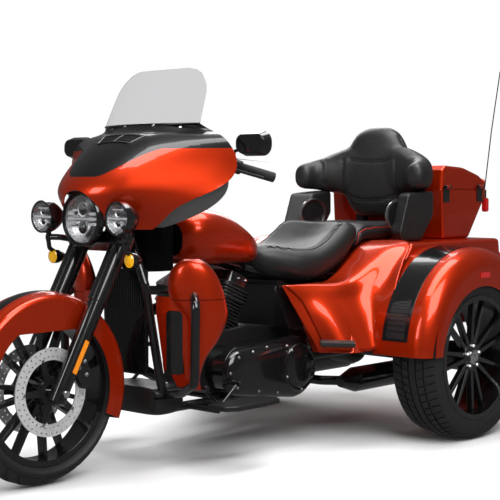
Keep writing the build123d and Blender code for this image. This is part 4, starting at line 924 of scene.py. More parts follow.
def wheel_centres():
    """Lug nuts and polished caps on the rear hubs."""
    for side, name in ((1, "left"), (-1, "right")):
        face = REAR_AXLE + Vector((0, side * (REAR_WHEEL_Y + HUB_FACE), 0))
        body = "rear_wheel_" + name
        nuts = ring_spots(face, Vector((0, side, 0)), LUG_RING_R, 5, 0.3)
        bolts(f"lug_nuts_{name}", body, nuts, 0.0085, 0.010, sides=6)
        cap = lathe("cap", "Y", face, [(side * y, r) for y, r in HUB_CAP], 48)
        put(f"hub_cap_{name}", shade(cap, 30), "polished", body)


def disc_ring(side):
    """One drilled disc, turned to lie across the front axle."""
    seed = bpy.data.meshes.new("disc_seed")
    seed.from_pydata([(0, 0, 0)], [], [])
    ring = grown("disc_ring", seed, DRILLED, "steel", **DISC_SIZES, **DISC_HOLES)
    for vert in ring.vertices:
        x, y, z = vert.co
        vert.co = (FRONT_AXLE.x + x, side * (DISC_Y + z), FRONT_AXLE.z - side * y)
    if side < 0:
        ring.flip_normals()
    return ring


def brake_discs():
    """Drilled steel rings on black carriers, with the pins between them."""
    carriers, pins = [], []
    (root_r, root_w), (tip_r, tip_w) = ARM_ENDS
    for side in (1, -1):
        face = FRONT_AXLE + Vector((0, side * DISC_Y, 0))
        inner, outer = CARRIER_R
        hub = ((0.0, inner), (0.0, outer), (side * DISC_T, outer), (side * DISC_T, inner))
        carriers.append(lathe("carrier_hub", "Y", face, hub, 48))
        for k in range(ARM_COUNT):
            t = 2 * pi * k / ARM_COUNT
            along, across = Vector((cos(t), 0, sin(t))), Vector((-sin(t), 0, cos(t)))
            corners = [
                face + along * r + across * w + Vector((0, side * y, 0))
                for y in ARM_FACES
                for r, w in ((root_r, -root_w), (tip_r, -tip_w), (tip_r, tip_w), (root_r, root_w))
            ]
            arm = bpy.data.meshes.new("carrier_arm")
            arm.from_pydata(corners, [], BOX_FACES)
            carriers.append(arm)
            pins.append((face + along * PIN_RING_R + Vector((0, side * DISC_T, 0)), Vector((0, side, 0))))
    rings = join("rings", [disc_ring(side) for side in (1, -1)])
    put("drilled_discs", shade(rings, 30), "steel", "front_wheel", "front_discs")
    put("disc_carriers", shade(filled(join("carriers", carriers)), 30), "black_satin", "front_wheel")
    bolts("disc_pins", "front_wheel", pins, 0.006, 0.0022)


wheel_centres()
brake_discs()


# Lamps


def lamp_bowl(centre, radius, depth):
    """The black shell of a lamp that faces forward, open at the front behind a rim."""
    r = radius
    profile = [(-depth, 0.0), (-depth, r * 0.50)]
    profile += bow((-depth, r * 0.55), (-depth * 0.55, r * 0.93), (-0.014, r), 8)
    profile += [(-0.001, r), (0.0, r * 0.985), (0.0, r * 0.93), (-0.003, r * 0.905), (-0.012, r * 0.90)]
    profile += [(-0.012, r * 0.94), (-depth * 0.5, r * 0.85), (-depth + 0.004, 0.0)]
    return shade(lathe("bowl", "X", centre, profile), 40)


def lamp_reflector(centre, radius, depth):
    """A stepped bright reflector inside a lamp."""
    r = radius * 0.895
    profile = bow((-0.006, r), (-depth * 0.40, r * 0.70), (-depth * 0.55, r * 0.30), 7)
    profile += [(-depth * 0.55, 0.0), (-depth * 0.55 - 0.002, 0.0), (-depth * 0.55 - 0.002, r * 0.30)]
    profile += bow((-depth * 0.55 - 0.002, r * 0.31), (-depth * 0.40 - 0.003, r * 0.72), (-0.008, r), 7)
    return shade(lathe("reflector", "X", centre, profile, 48), 24)


def lamp_lens(centre, radius, dome):
    """A thin domed cover over a lamp's front."""
    r = radius * 0.93
    outer = bow((0.0, r), (dome * 0.72, r * 0.52), (dome, 0.0), 8)
    inner = bow((dome - 0.0025, 0.0), (dome * 0.72 - 0.0025, r * 0.51), (-0.0015, r * 0.985), 8)
    return shade(lathe("lens", "X", centre, outer + inner), 60)


def projector(centre, radius):
    """The bright ring of a projector that faces forward, and its bulging dark eye."""
    ring = [(-0.016, radius * 1.02), (0.0, radius * 1.24), (0.003, radius * 1.20), (0.002, radius * 0.99)]
    bulge = bow((0.0, radius), (radius * 0.34, radius * 0.72), (radius * 0.5, 0.0), 7)
    eye = bulge + [(-0.010, 0.0), (-0.010, radius)]
    return shade(lathe("ring", "X", centre, ring, 40), 40), shade(lathe("eye", "X", centre, eye, 40), 50)


def flat_bars(centre, bars):
    """Flat bars about a centre, from rows of (x, y, z, width, height, thickness)."""
    mesh = bpy.data.meshes.new("bars")
    with edited(mesh) as bm:
        for x, y, z, width, height, thick in bars:
            for vert in bmesh.ops.create_cube(bm, size=1.0)["verts"]:
                cx, cy, cz = vert.co
                vert.co = Vector(centre) + Vector((x + cx * thick, y + cy * width, z + cz * height))
    return mesh


HEAD_R = 0.092
# Ring around the headlamp: x from its front, radius
HEAD_TRIM = (
    (-0.020, HEAD_R * 0.99),
    (-0.020, 0.0985),
    (-0.004, 0.0985),
    (0.002, HEAD_R * 1.03),
    (0.003, HEAD_R * 0.985),
)
# Bars in the lamps: x, y, z, width, height, thickness
HEAD_BARS = [(-0.010, side * 0.055, z, 0.034, 0.010, 0.006) for side in (1, -1) for z in (-0.018, 0.0, 0.018)]
HEAD_BARS += [(-0.012, 0.0, 0.0, 0.110, 0.006, 0.006)]
AUX_BARS = ((-0.008, 0, 0, 0.094, 0.007, 0.005), (-0.010, 0, 0.030, 0.05, 0.004, 0.004))
AUX_R = 0.058
SIGNAL_R = 0.025
SIGNAL_LENS_R = 0.0262


def projectors(centre, back, heights, radius):
    """A row of projectors over each other: their rings and their eyes."""
    made = [projector(centre + Vector((-back, 0, z)), radius) for z in heights]
    return [ring for ring, _ in made], [eye for _, eye in made]


def headlamp():
    """The round headlamp: black surround, bright reflector, two projectors, side bars and a clear cover."""
    rings, eyes = projectors(HEADLAMP, 0.014, (0.033, -0.031), 0.021)
    rings.append(flat_bars(HEADLAMP, HEAD_BARS))
    put("headlamp_shell", lamp_bowl(HEADLAMP, HEAD_R, 0.066), "black_gloss", "steering", "headlamp")
    put("headlamp_trim", shade(lathe("trim", "X", HEADLAMP, HEAD_TRIM), 30), "black_gloss", "steering")
    put("headlamp_reflector", lamp_reflector(HEADLAMP, HEAD_R, 0.060), "lamp_mirror", "steering")
    put("headlamp_rings", shade(join("rings", rings), 30), "machined", "steering")
    put("headlamp_eyes", shade(join("eyes", eyes), 50), "black_gloss", "steering")
    put("headlamp_cover", lamp_lens(HEADLAMP, HEAD_R, 0.013), "clear_lens", "steering")


def front_lamps():
    """The pair of round lamps beside the headlamp and the amber signals under them."""
    shells, mirrors, covers, rings, eyes, bowls, ambers = ([] for _ in range(7))
    for side in (1, -1):
        at = Vector((AUX_LAMP.x, side * AUX_LAMP.y, AUX_LAMP.z))
        shells.append(lamp_bowl(at, AUX_R, 0.078))
        mirrors.append(lamp_reflector(at, AUX_R, 0.052))
        covers.append(lamp_lens(at, AUX_R, 0.0075))
        more_rings, more_eyes = projectors(at, 0.012, (0.018, -0.018), 0.011)
        rings += more_rings + [flat_bars(at, AUX_BARS)]
        eyes += more_eyes
        low = Vector((SIGNAL.x, side * SIGNAL.y, SIGNAL.z))
        bowls.append(lamp_bowl(low, SIGNAL_R, 0.048))
        ambers.append(lamp_lens(low, SIGNAL_LENS_R, 0.006))
    for name, meshes, angle, material, *nodes in (
        ("aux_shells", shells, 40, "black_gloss", "aux_lamps"),
        ("aux_reflectors", mirrors, 24, "lamp_mirror"),
        ("aux_bars", rings, 30, "machined"),
        ("aux_eyes", eyes, 50, "black_gloss"),
        ("aux_covers", covers, 60, "clear_lens"),
        ("signal_shells", bowls, 40, "black_gloss", "turn_signals"),
        ("signal_lenses", ambers, 60, "amber_lens"),
    ):
        put(name, shade(join(name, meshes), angle), material, "steering", *nodes)


headlamp()
front_lamps()


# Detail laid on the surfaces


def surface_of(node):
    """A CAD node's surface."""
    return Surface(NODES[node].data)


def slab(centre, along, out, length, width, thick, edge=0.0015):
    """A small plate with rounded edges, from its long way, the way it faces and its three sizes."""
    along, out = Vector(along).normalized(), Vector(out).normalized()
    across = out.cross(along)
    mesh = bpy.data.meshes.new("slab")
    with edited(mesh) as bm:
        bmesh.ops.create_cube(bm, size=1.0)
        for vert in bm.verts:
            a, b, c = vert.co
            vert.co = Vector(centre) + along * a * length + across * b * width + out * c * thick
        bmesh.ops.bevel(bm, geom=bm.edges[:], offset=edge, segments=2, affect="EDGES")
        bmesh.ops.recalc_face_normals(bm, faces=bm.faces)
    return shade(mesh, 40)


def laid(surface, starts, direction, lift):
    """A thin sheet that follows a surface, from rows of ray starts."""
    rows = [surface.line(row, direction, lift) for row in starts]
    return shade(grid_mesh("laid", np.array(rows), wrap_columns=False), 60)


def on_surface(surface, starts, direction):
    """Spots of (place, direction) for bolts, where rays meet a surface."""
    return [hit for hit in (surface.hit(start, direction) for start in starts) if hit[0]]


# Air opening over the lamps: front and rear x, half width, how much narrower it is in front, and its bars
VENT_X = (0.662, 0.612)
VENT_HALF = 0.104
VENT_TAPER = 0.20
VENT_RIM_R = 0.0036
VENT_BAR_R = 0.0034
VENT_SLAT_R = 0.0012
ABOVE_FAIRING = 1.40
SCREEN_SCREWS = ((0.541, 0.075), (0.510, 0.181))
# Foot of the screen: slices across it, each as wide as two steps between them, and the strip's radius
FOOT_SLICES = (np.linspace(-0.26, 0.24, 26), np.linspace(-0.24, 0.26, 26))
FOOT_R = 0.0042
DOWN = (0, 0, -1)


def fairing_detail():
    """The twin air opening over the lamps, as a near-black sheet of painted shade on the shell inside its rim
    and bars, and the strip and screws of the screen.
    """
    shell = surface_of("fairing")
    front_x, back_x = VENT_X
    starts = []
    for x in np.linspace(front_x, back_x, 7):
        reach = VENT_HALF * (1.0 - VENT_TAPER * (x - back_x) / (front_x - back_x))
        starts.append([(x, y, ABOVE_FAIRING) for y in np.linspace(-reach, reach, 25)])
    # The opening is a dark sheet laid on the shell: painted shade, with no hole cut
    put("vent_dark", laid(shell, starts, DOWN, 0.0012), "vent_dark", "steering")
    sides = [row[-1] for row in starts[1:-1]], [row[0] for row in starts[-2:0:-1]]
    ring = starts[0] + sides[0] + starts[-1][::-1] + sides[1]
    rim = [wire("rim", shell.line(ring, DOWN, 0.001), VENT_RIM_R, closed=True)]
    rim.append(wire("bar", shell.line([row[12] for row in starts], DOWN, 0.001), VENT_BAR_R))
    for k in (2, 4):
        rim.append(wire("slat", shell.line(starts[k], DOWN, 0.0005), VENT_SLAT_R))
    put("vent_rim", join("vent_rim", rim), "black_gloss", "steering")
    screen = np.array([vert.co[:] for vert in NODES["windshield"].data.vertices])
    foot = screen[screen[:, 2] < screen[:, 2].min() + 0.002]
    slices = [foot[(foot[:, 1] >= low) & (foot[:, 1] < high)] for low, high in zip(*FOOT_SLICES)]
    line = [near.mean(axis=0) for near in slices if len(near)]
    put("screen_foot", wire("screen_foot", line, FOOT_R), "black_gloss", "steering")
    above = [(x, side * y, ABOVE_FAIRING) for x, y in SCREEN_SCREWS for side in (1, -1)]
    bolts("screen_screws", "steering", on_surface(shell, above, DOWN), 0.0055, 0.003)


# Reflector strips on the fork legs: how far up from the axle, then length, width and thickness
STRIP_UP = 0.135
STRIP_SIZES = (0.120, 0.017, 0.006)
CALIPER_BOLTS = ((0.874, 0.412), (0.866, 0.366), (0.898, 0.392))
# Rays to the sides of the trike start this far out
BESIDE = 0.3


def fork_detail():
    """Orange reflector strips on the fork legs, and the caliper bolts."""
    legs = surface_of("fork_legs")
    calipers = surface_of("brake_calipers")
    down = Vector((sin(FORK_TILT), 0, -cos(FORK_TILT)))
    middle = FRONT_AXLE - down * STRIP_UP
    strips, spots = [], []
    for side in (1, -1):
        inward = (0, -side, 0)
        spot, _ = legs.hit((middle.x, side * BESIDE, middle.z), inward)
        strips.append(slab(spot + Vector((0, side * 0.001, 0)), down, (0, side, 0), *STRIP_SIZES))
        spots += on_surface(calipers, [(x, side * BESIDE, z) for x, z in CALIPER_BOLTS], inward)
    put("leg_reflectors", join("leg_reflectors", strips), "orange_lens", "steering")
    bolts("caliper_bolts", "steering", spots, 0.0075, 0.006, sides=6)


# Lower cowls from the bottom up: z, y of the front edge and x of the rear edge
COWL_ROWS = (
    (0.297, 0.286, 0.541),
    (0.340, 0.283, 0.545),
    (0.412, 0.280, 0.527),
    (0.484, 0.279, 0.479),
    (0.552, 0.272, 0.447),
    (0.600, 0.232, 0.451),
    (0.645, 0.208, 0.464),
    (0.695, 0.212, 0.488),
    (0.732, 0.236, 0.518),
    (0.753, 0.268, 0.548),
)
# Their line in plan (x, y), and how far the edges lie behind it and the middle before it
COWL_ARC = ((0.604, 0.160), (0.578, 0.272), (0.405, 0.345))
COWL_EDGE = -0.014
COWL_FULL = 0.030
COWL_T = 0.004
# Inner panels that carry the vents end here
INNER_PANEL_Y = 0.288
INNER_PANEL_Z = 0.622


def walled(piece, thickness):
    """Gives a sheet its thickness, half to each side."""
    wall = piece.modifiers.new("wall", "SOLIDIFY")
    wall.thickness = thickness
    wall.offset = 0.0


def circle_through(points):
    """The centre and radius of the circle through three points of a plane."""
    (ax, ay), (bx, by), (cx, cy) = points
    sides = 2 * np.array(((bx - ax, by - ay), (cx - ax, cy - ay)))
    squares = (bx * bx + by * by - ax * ax - ay * ay, cx * cx + cy * cy - ax * ax - ay * ay)
    middle = np.linalg.solve(sides, squares)
    return middle, np.hypot(ax - middle[0], ay - middle[1])


def cowl_points(rows, columns):
    """The left cowl as a grid of points: full in the middle, with its edges curled back."""
    (mx, my), radius = circle_through(COWL_ARC)
    part = 0.5 - 0.5 * np.cos(np.linspace(0, pi, columns))
    swell = np.sqrt(1 - np.abs(2 * part - 1) ** 2.4)
    points = np.empty((rows, columns, 3))
    for k, (z, front_y, rear_x) in enumerate(smooth_rows(COWL_ROWS, rows)):
        start = np.arcsin((front_y - my) / radius)
        turn = start + (np.arccos((rear_x - mx) / radius) - start) * part
        level = sqrt(1 - abs(2 * k / (rows - 1) - 1) ** 4)
        out = radius + COWL_EDGE + (COWL_FULL - COWL_EDGE) * swell * level
        points[k] = np.stack([mx + out * np.cos(turn), my + out * np.sin(turn), np.full(columns, z)], axis=-1)
    return points


def lower_fairings():
    """Full red cowls with a black rear edge and a seam across, and the inner panels that carry the vents."""
    inner = joined_mesh("lower_fairings")
    cuts = (
        ((0, INNER_PANEL_Y, 0), (0, 1, 0)),
        ((0, -INNER_PANEL_Y, 0), (0, -1, 0)),
        ((0, 0, INNER_PANEL_Z), (0, 0, 1)),
    )
    with edited(inner) as bm:
        for place, way in cuts:
            parts = bm.verts[:] + bm.edges[:] + bm.faces[:]
            bmesh.ops.bisect_plane(bm, geom=parts, plane_co=place, plane_no=way, clear_outer=True)
    put("inner_panels", shade(inner), "red_paint", "chassis", "lower_fairings")
    points = cowl_points(72, 48)
    sheet = grid_mesh("cowl", points, wrap_columns=False)
    cowls = put("lower_cowls", shade(mirrored(sheet), 70), "red_paint", "chassis", "lower_fairings")
    walled(cowls, COWL_T)
    rear_edge = [tuple(point) for point in points[30:70, -1]]
    # The seam is a thin near-black line: painted shade in the seam's gap
    seam = [tuple(point) for point in points[42, 3:-3]]
    for name, line, radius, material in (
        ("cowl_edges", rear_edge, 0.0045, "black_satin"),
        ("cowl_seams", seam, 0.0024, "vent_dark"),
    ):
        put(name, join(name, [wire(name, side, radius) for side in both(line)]), material, "chassis")


# Bolts of the primary cover: x, z
COVER_BOLTS = (
    (-0.170, 0.368),
    (-0.030, 0.392),
    (0.080, 0.396),
    (0.160, 0.386),
    (0.240, 0.372),
    (0.284, 0.318),
    (0.250, 0.262),
    (0.130, 0.236),
    (0.020, 0.218),
    (-0.190, 0.270),
)


# Slots in the chin cover, as near-black slabs of painted shade: the left one's place, then length, width and
# thickness
CHIN_SLOT = (0.573, 0.1475, 0.256)
CHIN_SLOT_SIZES = (0.052, 0.006, 0.004)
# Chin cover from the back forward: x, half width, bottom, top and no bowl
CHIN_FORM = (
    (0.468, 0.148, 0.190, 0.291, 0.0),
    (0.510, 0.152, 0.187, 0.291, 0.0),
    (0.560, 0.150, 0.187, 0.291, 0.0),
    (0.588, 0.138, 0.194, 0.289, 0.0),
    (0.599, 0.112, 0.208, 0.280, 0.0),
)


def chin_cover():
    """The rounded black cover under the cooler, with a near-black slab of painted shade for the slot in each
    front corner.
    """
    put("chin_shell", shade(long_form(CHIN_FORM, 5.0), 50), "black_satin", "chassis", "chin_cover")
    slots = []
    for side in (1, -1):
        at = (CHIN_SLOT[0], side * CHIN_SLOT[1], CHIN_SLOT[2])
        slots.append(slab(at, (-0.6, side * 0.25, 0), (0.25, side, 0), *CHIN_SLOT_SIZES))
    put("chin_slots", join("chin_slots", slots), "vent_dark", "chassis")


# Primary cover's crown: two rounds (x, z, radius) with straight edges between, its foot and its rise
CROWN_REAR = (-0.096, 0.306, 0.122)
CROWN_NOSE = (0.215, 0.312, 0.086)
CROWN_FOOT = 0.186
CROWN_RISE = 0.034
# Clutch cap on it: (out from the clutch's face, radius)
CAP_PROFILE = (
    (-0.010, 0.0),
    (-0.010, 0.094),
    (0.018, 0.094),
    (0.023, 0.091),
    (0.0235, 0.084),
    (0.021, 0.081),
    (0.024, 0.076),
    (0.030, 0.050),
    (0.032, 0.0),
)


CAP_BOLT_RING_R = 0.0875
# Rocker cover bolts, before and behind the crank: x from it, z
ROCKER_BOLTS = ((0.085, 0.628), (0.125, 0.652), (0.165, 0.640))
# Finned coolers: centre of the fins, then width, height and depth of a fin, half the row and how many
COOLERS = (
    ("regulator_fins", (0.610, 0.0, 0.640), (0.0040, 0.132, 0.024), 0.092, 17),
    ("cooler_fins", (0.606, 0.0, 0.462), (0.0036, 0.236, 0.016), 0.104, 24),
)
# Blocks in the frame: name, centre, long way, way it faces, then length, width, thickness and edge
BLOCKS = (
    ("battery_box", (-0.225, 0.0, 0.535), (1, 0, 0), (0, 1, 0), 0.300, 0.200, 0.250, 0.018),
    ("regulator_plate", (0.596, 0.0, 0.640), (0, 1, 0), (1, 0, 0), 0.200, 0.140, 0.012, 0.0015),
)
# Rays to the engine's left side start here
LEFT_OF_ENGINE = 0.5


def primary_crown():
    """The rounded crown of the primary cover, full between two rounds."""
    ax, az, ar = CROWN_REAR
    bx, bz, br = CROWN_NOSE
    lean = np.arccos((ar - br) / np.hypot(bx - ax, bz - az))
    level = np.arctan2(bz - az, bx - ax)
    turn = np.concatenate([
        level + np.linspace(lean, 2 * pi - lean, 48),
        level + np.linspace(-lean, lean, 32),
    ])
    centre = np.array([(ax, az)] * 48 + [(bx, bz)] * 32)
    radius = np.array([ar] * 48 + [br] * 32)
    rows = []
    for part in np.linspace(1.0, 0.0, 20):
        reach = radius * part
        x = centre[:, 0] + reach * np.cos(turn)
        z = centre[:, 1] + reach * np.sin(turn)
        y = np.full_like(x, CROWN_FOOT + CROWN_RISE * sqrt(1 - part ** 3.2))
        rows.append(np.stack([x, y, z], axis=-1))
    return shade(filled(grid_mesh("primary_crown", np.array(rows))), 60)


def engine_detail():
    """The primary cover's crown and clutch cap, bright bolts, blocks in the frame, and the coolers' fins."""
    crown = primary_crown()
    cap = shade(lathe("cap", "Y", CLUTCH, CAP_PROFILE), 40)
    cap_ring = ring_spots(CLUTCH, Vector((0, 1, 0)), CAP_BOLT_RING_R, 5, 0.9)
    cap_bolts = [(place.x, place.z) for place, _ in cap_ring]
    rocker_bolts = [(CRANK.x + side * x, z) for side in (1, -1) for x, z in ROCKER_BOLTS]
    spots = []
    for surface, places in (
        (Surface(crown), COVER_BOLTS),
        (Surface(cap), cap_bolts),
        (surface_of("rocker_covers"), rocker_bolts),
    ):
        starts = [(x, LEFT_OF_ENGINE, z) for x, z in places]
        spots.append(on_surface(surface, starts, (0, -1, 0)))
    put("primary_crown", crown, "black_gloss", "chassis")
    put("clutch_cap", cap, "black_gloss", "chassis")
    bolts("cover_bolts", "chassis", spots[0] + spots[1], 0.0052, 0.0045)
    bolts("rocker_bolts", "chassis", spots[2], 0.0055, 0.006, "polished")
    for name, *sizes in BLOCKS:
        put(name, slab(*sizes), "black_satin", "chassis")
    for name, centre, fin, half, count in COOLERS:
        fins = [(0.0, y, 0.0, *fin) for y in np.linspace(-half, half, count)]
        put(name, flat_bars(centre, fins), "black_gloss", "chassis")


# Side panel under the seat: columns from the front to the fender, each from the bottom up to the seat's edge
SIDE_PANEL = (
    (
        (-0.128, 0.322, 0.385), (-0.098, 0.275, 0.498), (-0.074, 0.245, 0.568),
        (-0.026, 0.215, 0.621), (-0.020, 0.196, 0.616),
    ),
    (
        (-0.172, 0.388, 0.378), (-0.155, 0.329, 0.498), (-0.146, 0.287, 0.566),
        (-0.120, 0.248, 0.622), (-0.120, 0.205, 0.618),
    ),
    (
        (-0.245, 0.420, 0.370), (-0.235, 0.365, 0.494), (-0.225, 0.323, 0.562),
        (-0.235, 0.299, 0.622), (-0.235, 0.212, 0.622),
    ),
    (
        (-0.284, 0.436, 0.372), (-0.290, 0.386, 0.500), (-0.300, 0.349, 0.570),
        (-0.320, 0.316, 0.640), (-0.320, 0.212, 0.652),
    ),
    (
        (-0.292, 0.448, 0.384), (-0.325, 0.402, 0.530), (-0.355, 0.371, 0.610),
        (-0.400, 0.336, 0.695), (-0.400, 0.212, 0.706),
    ),
    (
        (-0.300, 0.464, 0.420), (-0.350, 0.440, 0.570), (-0.405, 0.415, 0.650),
        (-0.475, 0.360, 0.748), (-0.475, 0.212, 0.756),
    ),
    (
        (-0.330, 0.480, 0.500), (-0.385, 0.470, 0.625), (-0.455, 0.450, 0.705),
        (-0.560, 0.400, 0.779), (-0.560, 0.212, 0.780),
    ),
)
PANEL_T = 0.003
# Corners of the fuel door on the left panel, and its outline's radius
FUEL_DOOR = (
    (-0.500, 0.320, 0.698),
    (-0.534, 0.354, 0.742),
    (-0.515, 0.412, 0.717),
    (-0.468, 0.418, 0.672),
    (-0.470, 0.367, 0.655),
)
FUEL_DOOR_LINE_R = 0.0011
# Grille low on each fender stripe: inner and outer y, bottom and top z, and how far the top rises outwards
GRILLE_Y = (0.488, 0.572)
GRILLE_Z = (0.418, 0.556)
GRILLE_RISE = 0.014


def fender_grille(stripe, side):
    """A thin grille on one fender's stripe."""
    inner_y, outer_y = GRILLE_Y
    bottom, top = GRILLE_Z
    starts = []
    for z in np.linspace(bottom, top, 10):
        rise = GRILLE_RISE * (z - bottom) / (top - bottom)
        across = np.linspace(inner_y, outer_y, 8)
        starts.append([(0.0, side * y, z + rise * (y - inner_y) / (outer_y - inner_y)) for y in across])
    return laid(stripe, starts, (-1, 0, 0), 0.0012)


def body_detail():
    """Smooth side panels under the seat, the fuel door's outline and the grilles on the fender stripes."""
    sheet = shade(grid_mesh("side_panel", smooth_patch(SIDE_PANEL, 60, 44), wrap_columns=False), 70)
    panel = Surface(sheet)
    walled(put("side_panels", shade(mirrored(sheet), 70), "red_paint", "chassis"), PANEL_T)
    corners = [np.array(corner) for corner in FUEL_DOOR]
    edge = []
    for a, b in zip(corners, corners[1:] + corners[:1]):
        edge += [tuple(a + (b - a) * t) for t in np.linspace(0, 1, 6, endpoint=False)]
    outline = wire("outline", panel.nearest(edge, 0.0003), FUEL_DOOR_LINE_R, closed=True)
    put("fuel_door_line", outline, "red_piping", "chassis")
    stripe = surface_of("fender_trim")
    grilles = [fender_grille(stripe, side) for side in (1, -1)]
    put("fender_grilles", join("fender_grilles", grilles), "grille_black", "chassis")


# Speakers in the pods: a point between them, ring and cone as (out, radius), and their stretch along and up
SPEAKERS_AT = (-0.725, 0.0, 0.882)
SPEAKER_RING = ((-0.002, 0.052), (0.004, 0.053), (0.006, 0.057), (0.004, 0.061), (-0.002, 0.061))
SPEAKER_CONE = ((0.001, 0.0), (0.0035, 0.016), (0.001, 0.030), (0.002, 0.052), (-0.002, 0.052), (-0.002, 0.0))
SPEAKER_STRETCH = (1.45, 1.08)
# Corner lamps of the luggage box: the left one's place, then length, width, thickness and edge
BOX_LAMP = (-1.303, 0.292, 0.918)
BOX_LAMP_SIZES = (0.062, 0.030, 0.022, 0.004)


def luggage_detail():
    """Rounded speaker pods with their speakers, and corner lamps on the box."""
    shells = shade(softened(joined_mesh("speaker_pods"), 24, 0.005), 80)
    pods = Surface(shells)
    put("pod_shells", shells, "leather", "chassis", "speaker_pods")
    along, up = SPEAKER_STRETCH
    parts = {"speaker_rims": [], "speaker_cones": []}
    for side in (1, -1):
        spot, normal = pods.hit(SPEAKERS_AT, (0, side, 0))
        turn = Vector((1, 0, 0)).rotation_difference(normal).to_matrix()
        for profile, meshes in zip((SPEAKER_RING, SPEAKER_CONE), parts.values()):
            mesh = lathe("speaker", "X", (0, 0, 0), profile, 48)
            for vert in mesh.vertices:
                x, y, z = vert.co
                vert.co = spot + turn @ Vector((x, y * along, z * up))
            meshes.append(mesh)
    for (name, meshes), material in zip(parts.items(), ("machined", "grille_black")):
        put(name, shade(join(name, meshes), 40), material, "chassis")
    x, y, z = BOX_LAMP
    lamps = [slab((x, side * y, z), (0, 0, 1), (0, side, 0), *BOX_LAMP_SIZES) for side in (1, -1)]
    put("box_lamps", join("box_lamps", lamps), "red_lens", "chassis")


fairing_detail()
fork_detail()
lower_fairings()
chin_cover()
engine_detail()
body_detail()
luggage_detail()


# Cushions

# Cloth step: pressure, steps, and the most that a cover may swell
PRESSURE = 4.0
CLOTH_STEPS = 20
SWELL = 0.006
# Net of a cushion, rounds that draw its cover tight, depth and width of a seam, its piping, and its fill
VOXEL = 0.006
TIGHT_ROUNDS = 8
SEAM_DEPTH = 0.004
SEAM_WIDTH = 0.009
WELT_R = 0.0020


def inflated(mesh, hold_below):
    """A padded cover under pressure: cloth that swells by no more than a cap, held where it rests."""
    start = np.array([vert.co[:] for vert in mesh.vertices])
    holder = link("cover", mesh)
    held = holder.vertex_groups.new(name="held")
    held.add([k for k, co in enumerate(start) if co[2] < hold_below], 1.0, "REPLACE")
    cloth = holder.modifiers.new("cover", "CLOTH")
    cloth.settings.vertex_group_mass = "held"
    cloth.settings.use_pressure = True
    cloth.settings.uniform_pressure_force = PRESSURE
    cloth.settings.effector_weights.gravity = 0.0
    cloth.collision_settings.use_collision = False
    scene = bpy.context.scene
    for step in range(1, CLOTH_STEPS + 1):
        scene.frame_set(step)
    swollen = evaluated(holder)
    bpy.data.objects.remove(holder)
    scene.frame_set(1)
    move = np.array([vert.co[:] for vert in swollen.vertices]) - start
    reach = np.linalg.norm(move, axis=1, keepdims=True)
    move *= np.minimum(1.0, SWELL / np.maximum(reach, 1e-9))
    swollen.vertices.foreach_set("co", (start + move).ravel())
    swollen.update()
    return swollen


def near_line(points, line):
    """The distance from each point to a line through points."""
    best = np.full(len(points), 9.0)
    line = np.array([tuple(spot) for spot in line])
    for a, b in zip(line[:-1], line[1:]):
        along = b - a
        part = np.clip(((points - a) @ along) / max(along @ along, 1e-12), 0, 1)
        best = np.minimum(best, np.linalg.norm(points - a - part[:, None] * along, axis=1))
    return best


def sewn(mesh, lines):
    """Pulls a padded cover in along its seams."""
    count = len(mesh.vertices)
    points = np.empty(count * 3)
    normals = np.empty(count * 3)
    mesh.vertices.foreach_get("co", points)
    mesh.vertex_normals.foreach_get("vector", normals)
    points = points.reshape(-1, 3)
    normals = normals.reshape(-1, 3)
    pull = np.zeros(count)
    for line in lines:
        pull = np.maximum(pull, np.exp(-((near_line(points, line) / SEAM_WIDTH) ** 2)))
    mesh.vertices.foreach_set("co", (points - normals * (pull * SEAM_DEPTH)[:, None]).ravel())
    mesh.update()


def cushion(name, node, form, rounds, seams, hold_below, piping="leather"):
    """A leather cushion: a net over its form, swollen, drawn tight, and pulled in at piped seams."""
    mesh = softened(form, rounds, VOXEL)
    mesh = softened(inflated(mesh, hold_below), TIGHT_ROUNDS)
    surface = Surface(mesh)
    sewn(mesh, [surface.nearest(seam, 0.0) for seam in seams])
    surface = Surface(mesh)
    piece = put(name, shade(mesh, 80), "leather", "chassis", node)
    finer = piece.modifiers.new("finer", "SUBSURF")
    finer.levels = 1
    finer.render_levels = 1
    welts = [wire("welt", surface.nearest(seam, 0.0008), WELT_R) for seam in seams]
    put(name + "_piping", join("piping", welts), piping, "chassis")


# Cushions along their length: x, half width, bottom, top of the sides, and depth of the bowl between them
SEAT_FORM = (
    (-0.012, 0.050, 0.700, 0.744, 0.000),
    (-0.034, 0.092, 0.672, 0.772, 0.000),
    (-0.090, 0.140, 0.640, 0.782, 0.006),
    (-0.160, 0.184, 0.624, 0.772, 0.016),
    (-0.240, 0.205, 0.622, 0.772, 0.030),
    (-0.310, 0.208, 0.630, 0.796, 0.044),
    (-0.375, 0.208, 0.650, 0.838, 0.060),
    (-0.425, 0.206, 0.684, 0.872, 0.056),
    (-0.465, 0.200, 0.730, 0.880, 0.030),
    (-0.500, 0.186, 0.775, 0.868, 0.008),
    (-0.516, 0.150, 0.800, 0.845, 0.000),
)
PILLION_FORM = (
    (-0.488, 0.150, 0.752, 0.800, 0.000),
    (-0.512, 0.186, 0.742, 0.832, 0.000),
    (-0.560, 0.194, 0.779, 0.846, 0.000),
    (-0.700, 0.192, 0.779, 0.850, 0.004),
    (-0.820, 0.188, 0.779, 0.850, 0.004),
    (-0.850, 0.160, 0.785, 0.838, 0.000),
)
# Backrest from the bottom up: z, half width, middle x and half depth
BACK_FORM = (
    (0.862, 0.088, -0.890, 0.024),
    (0.878, 0.118, -0.888, 0.040),
    (0.930, 0.154, -0.884, 0.052),
    (1.000, 0.180, -0.882, 0.056),
    (1.080, 0.188, -0.882, 0.054),
    (1.140, 0.172, -0.888, 0.050),
    (1.195, 0.146, -0.892, 0.046),
    (1.240, 0.108, -0.897, 0.038),
    (1.264, 0.056, -0.904, 0.022),
)
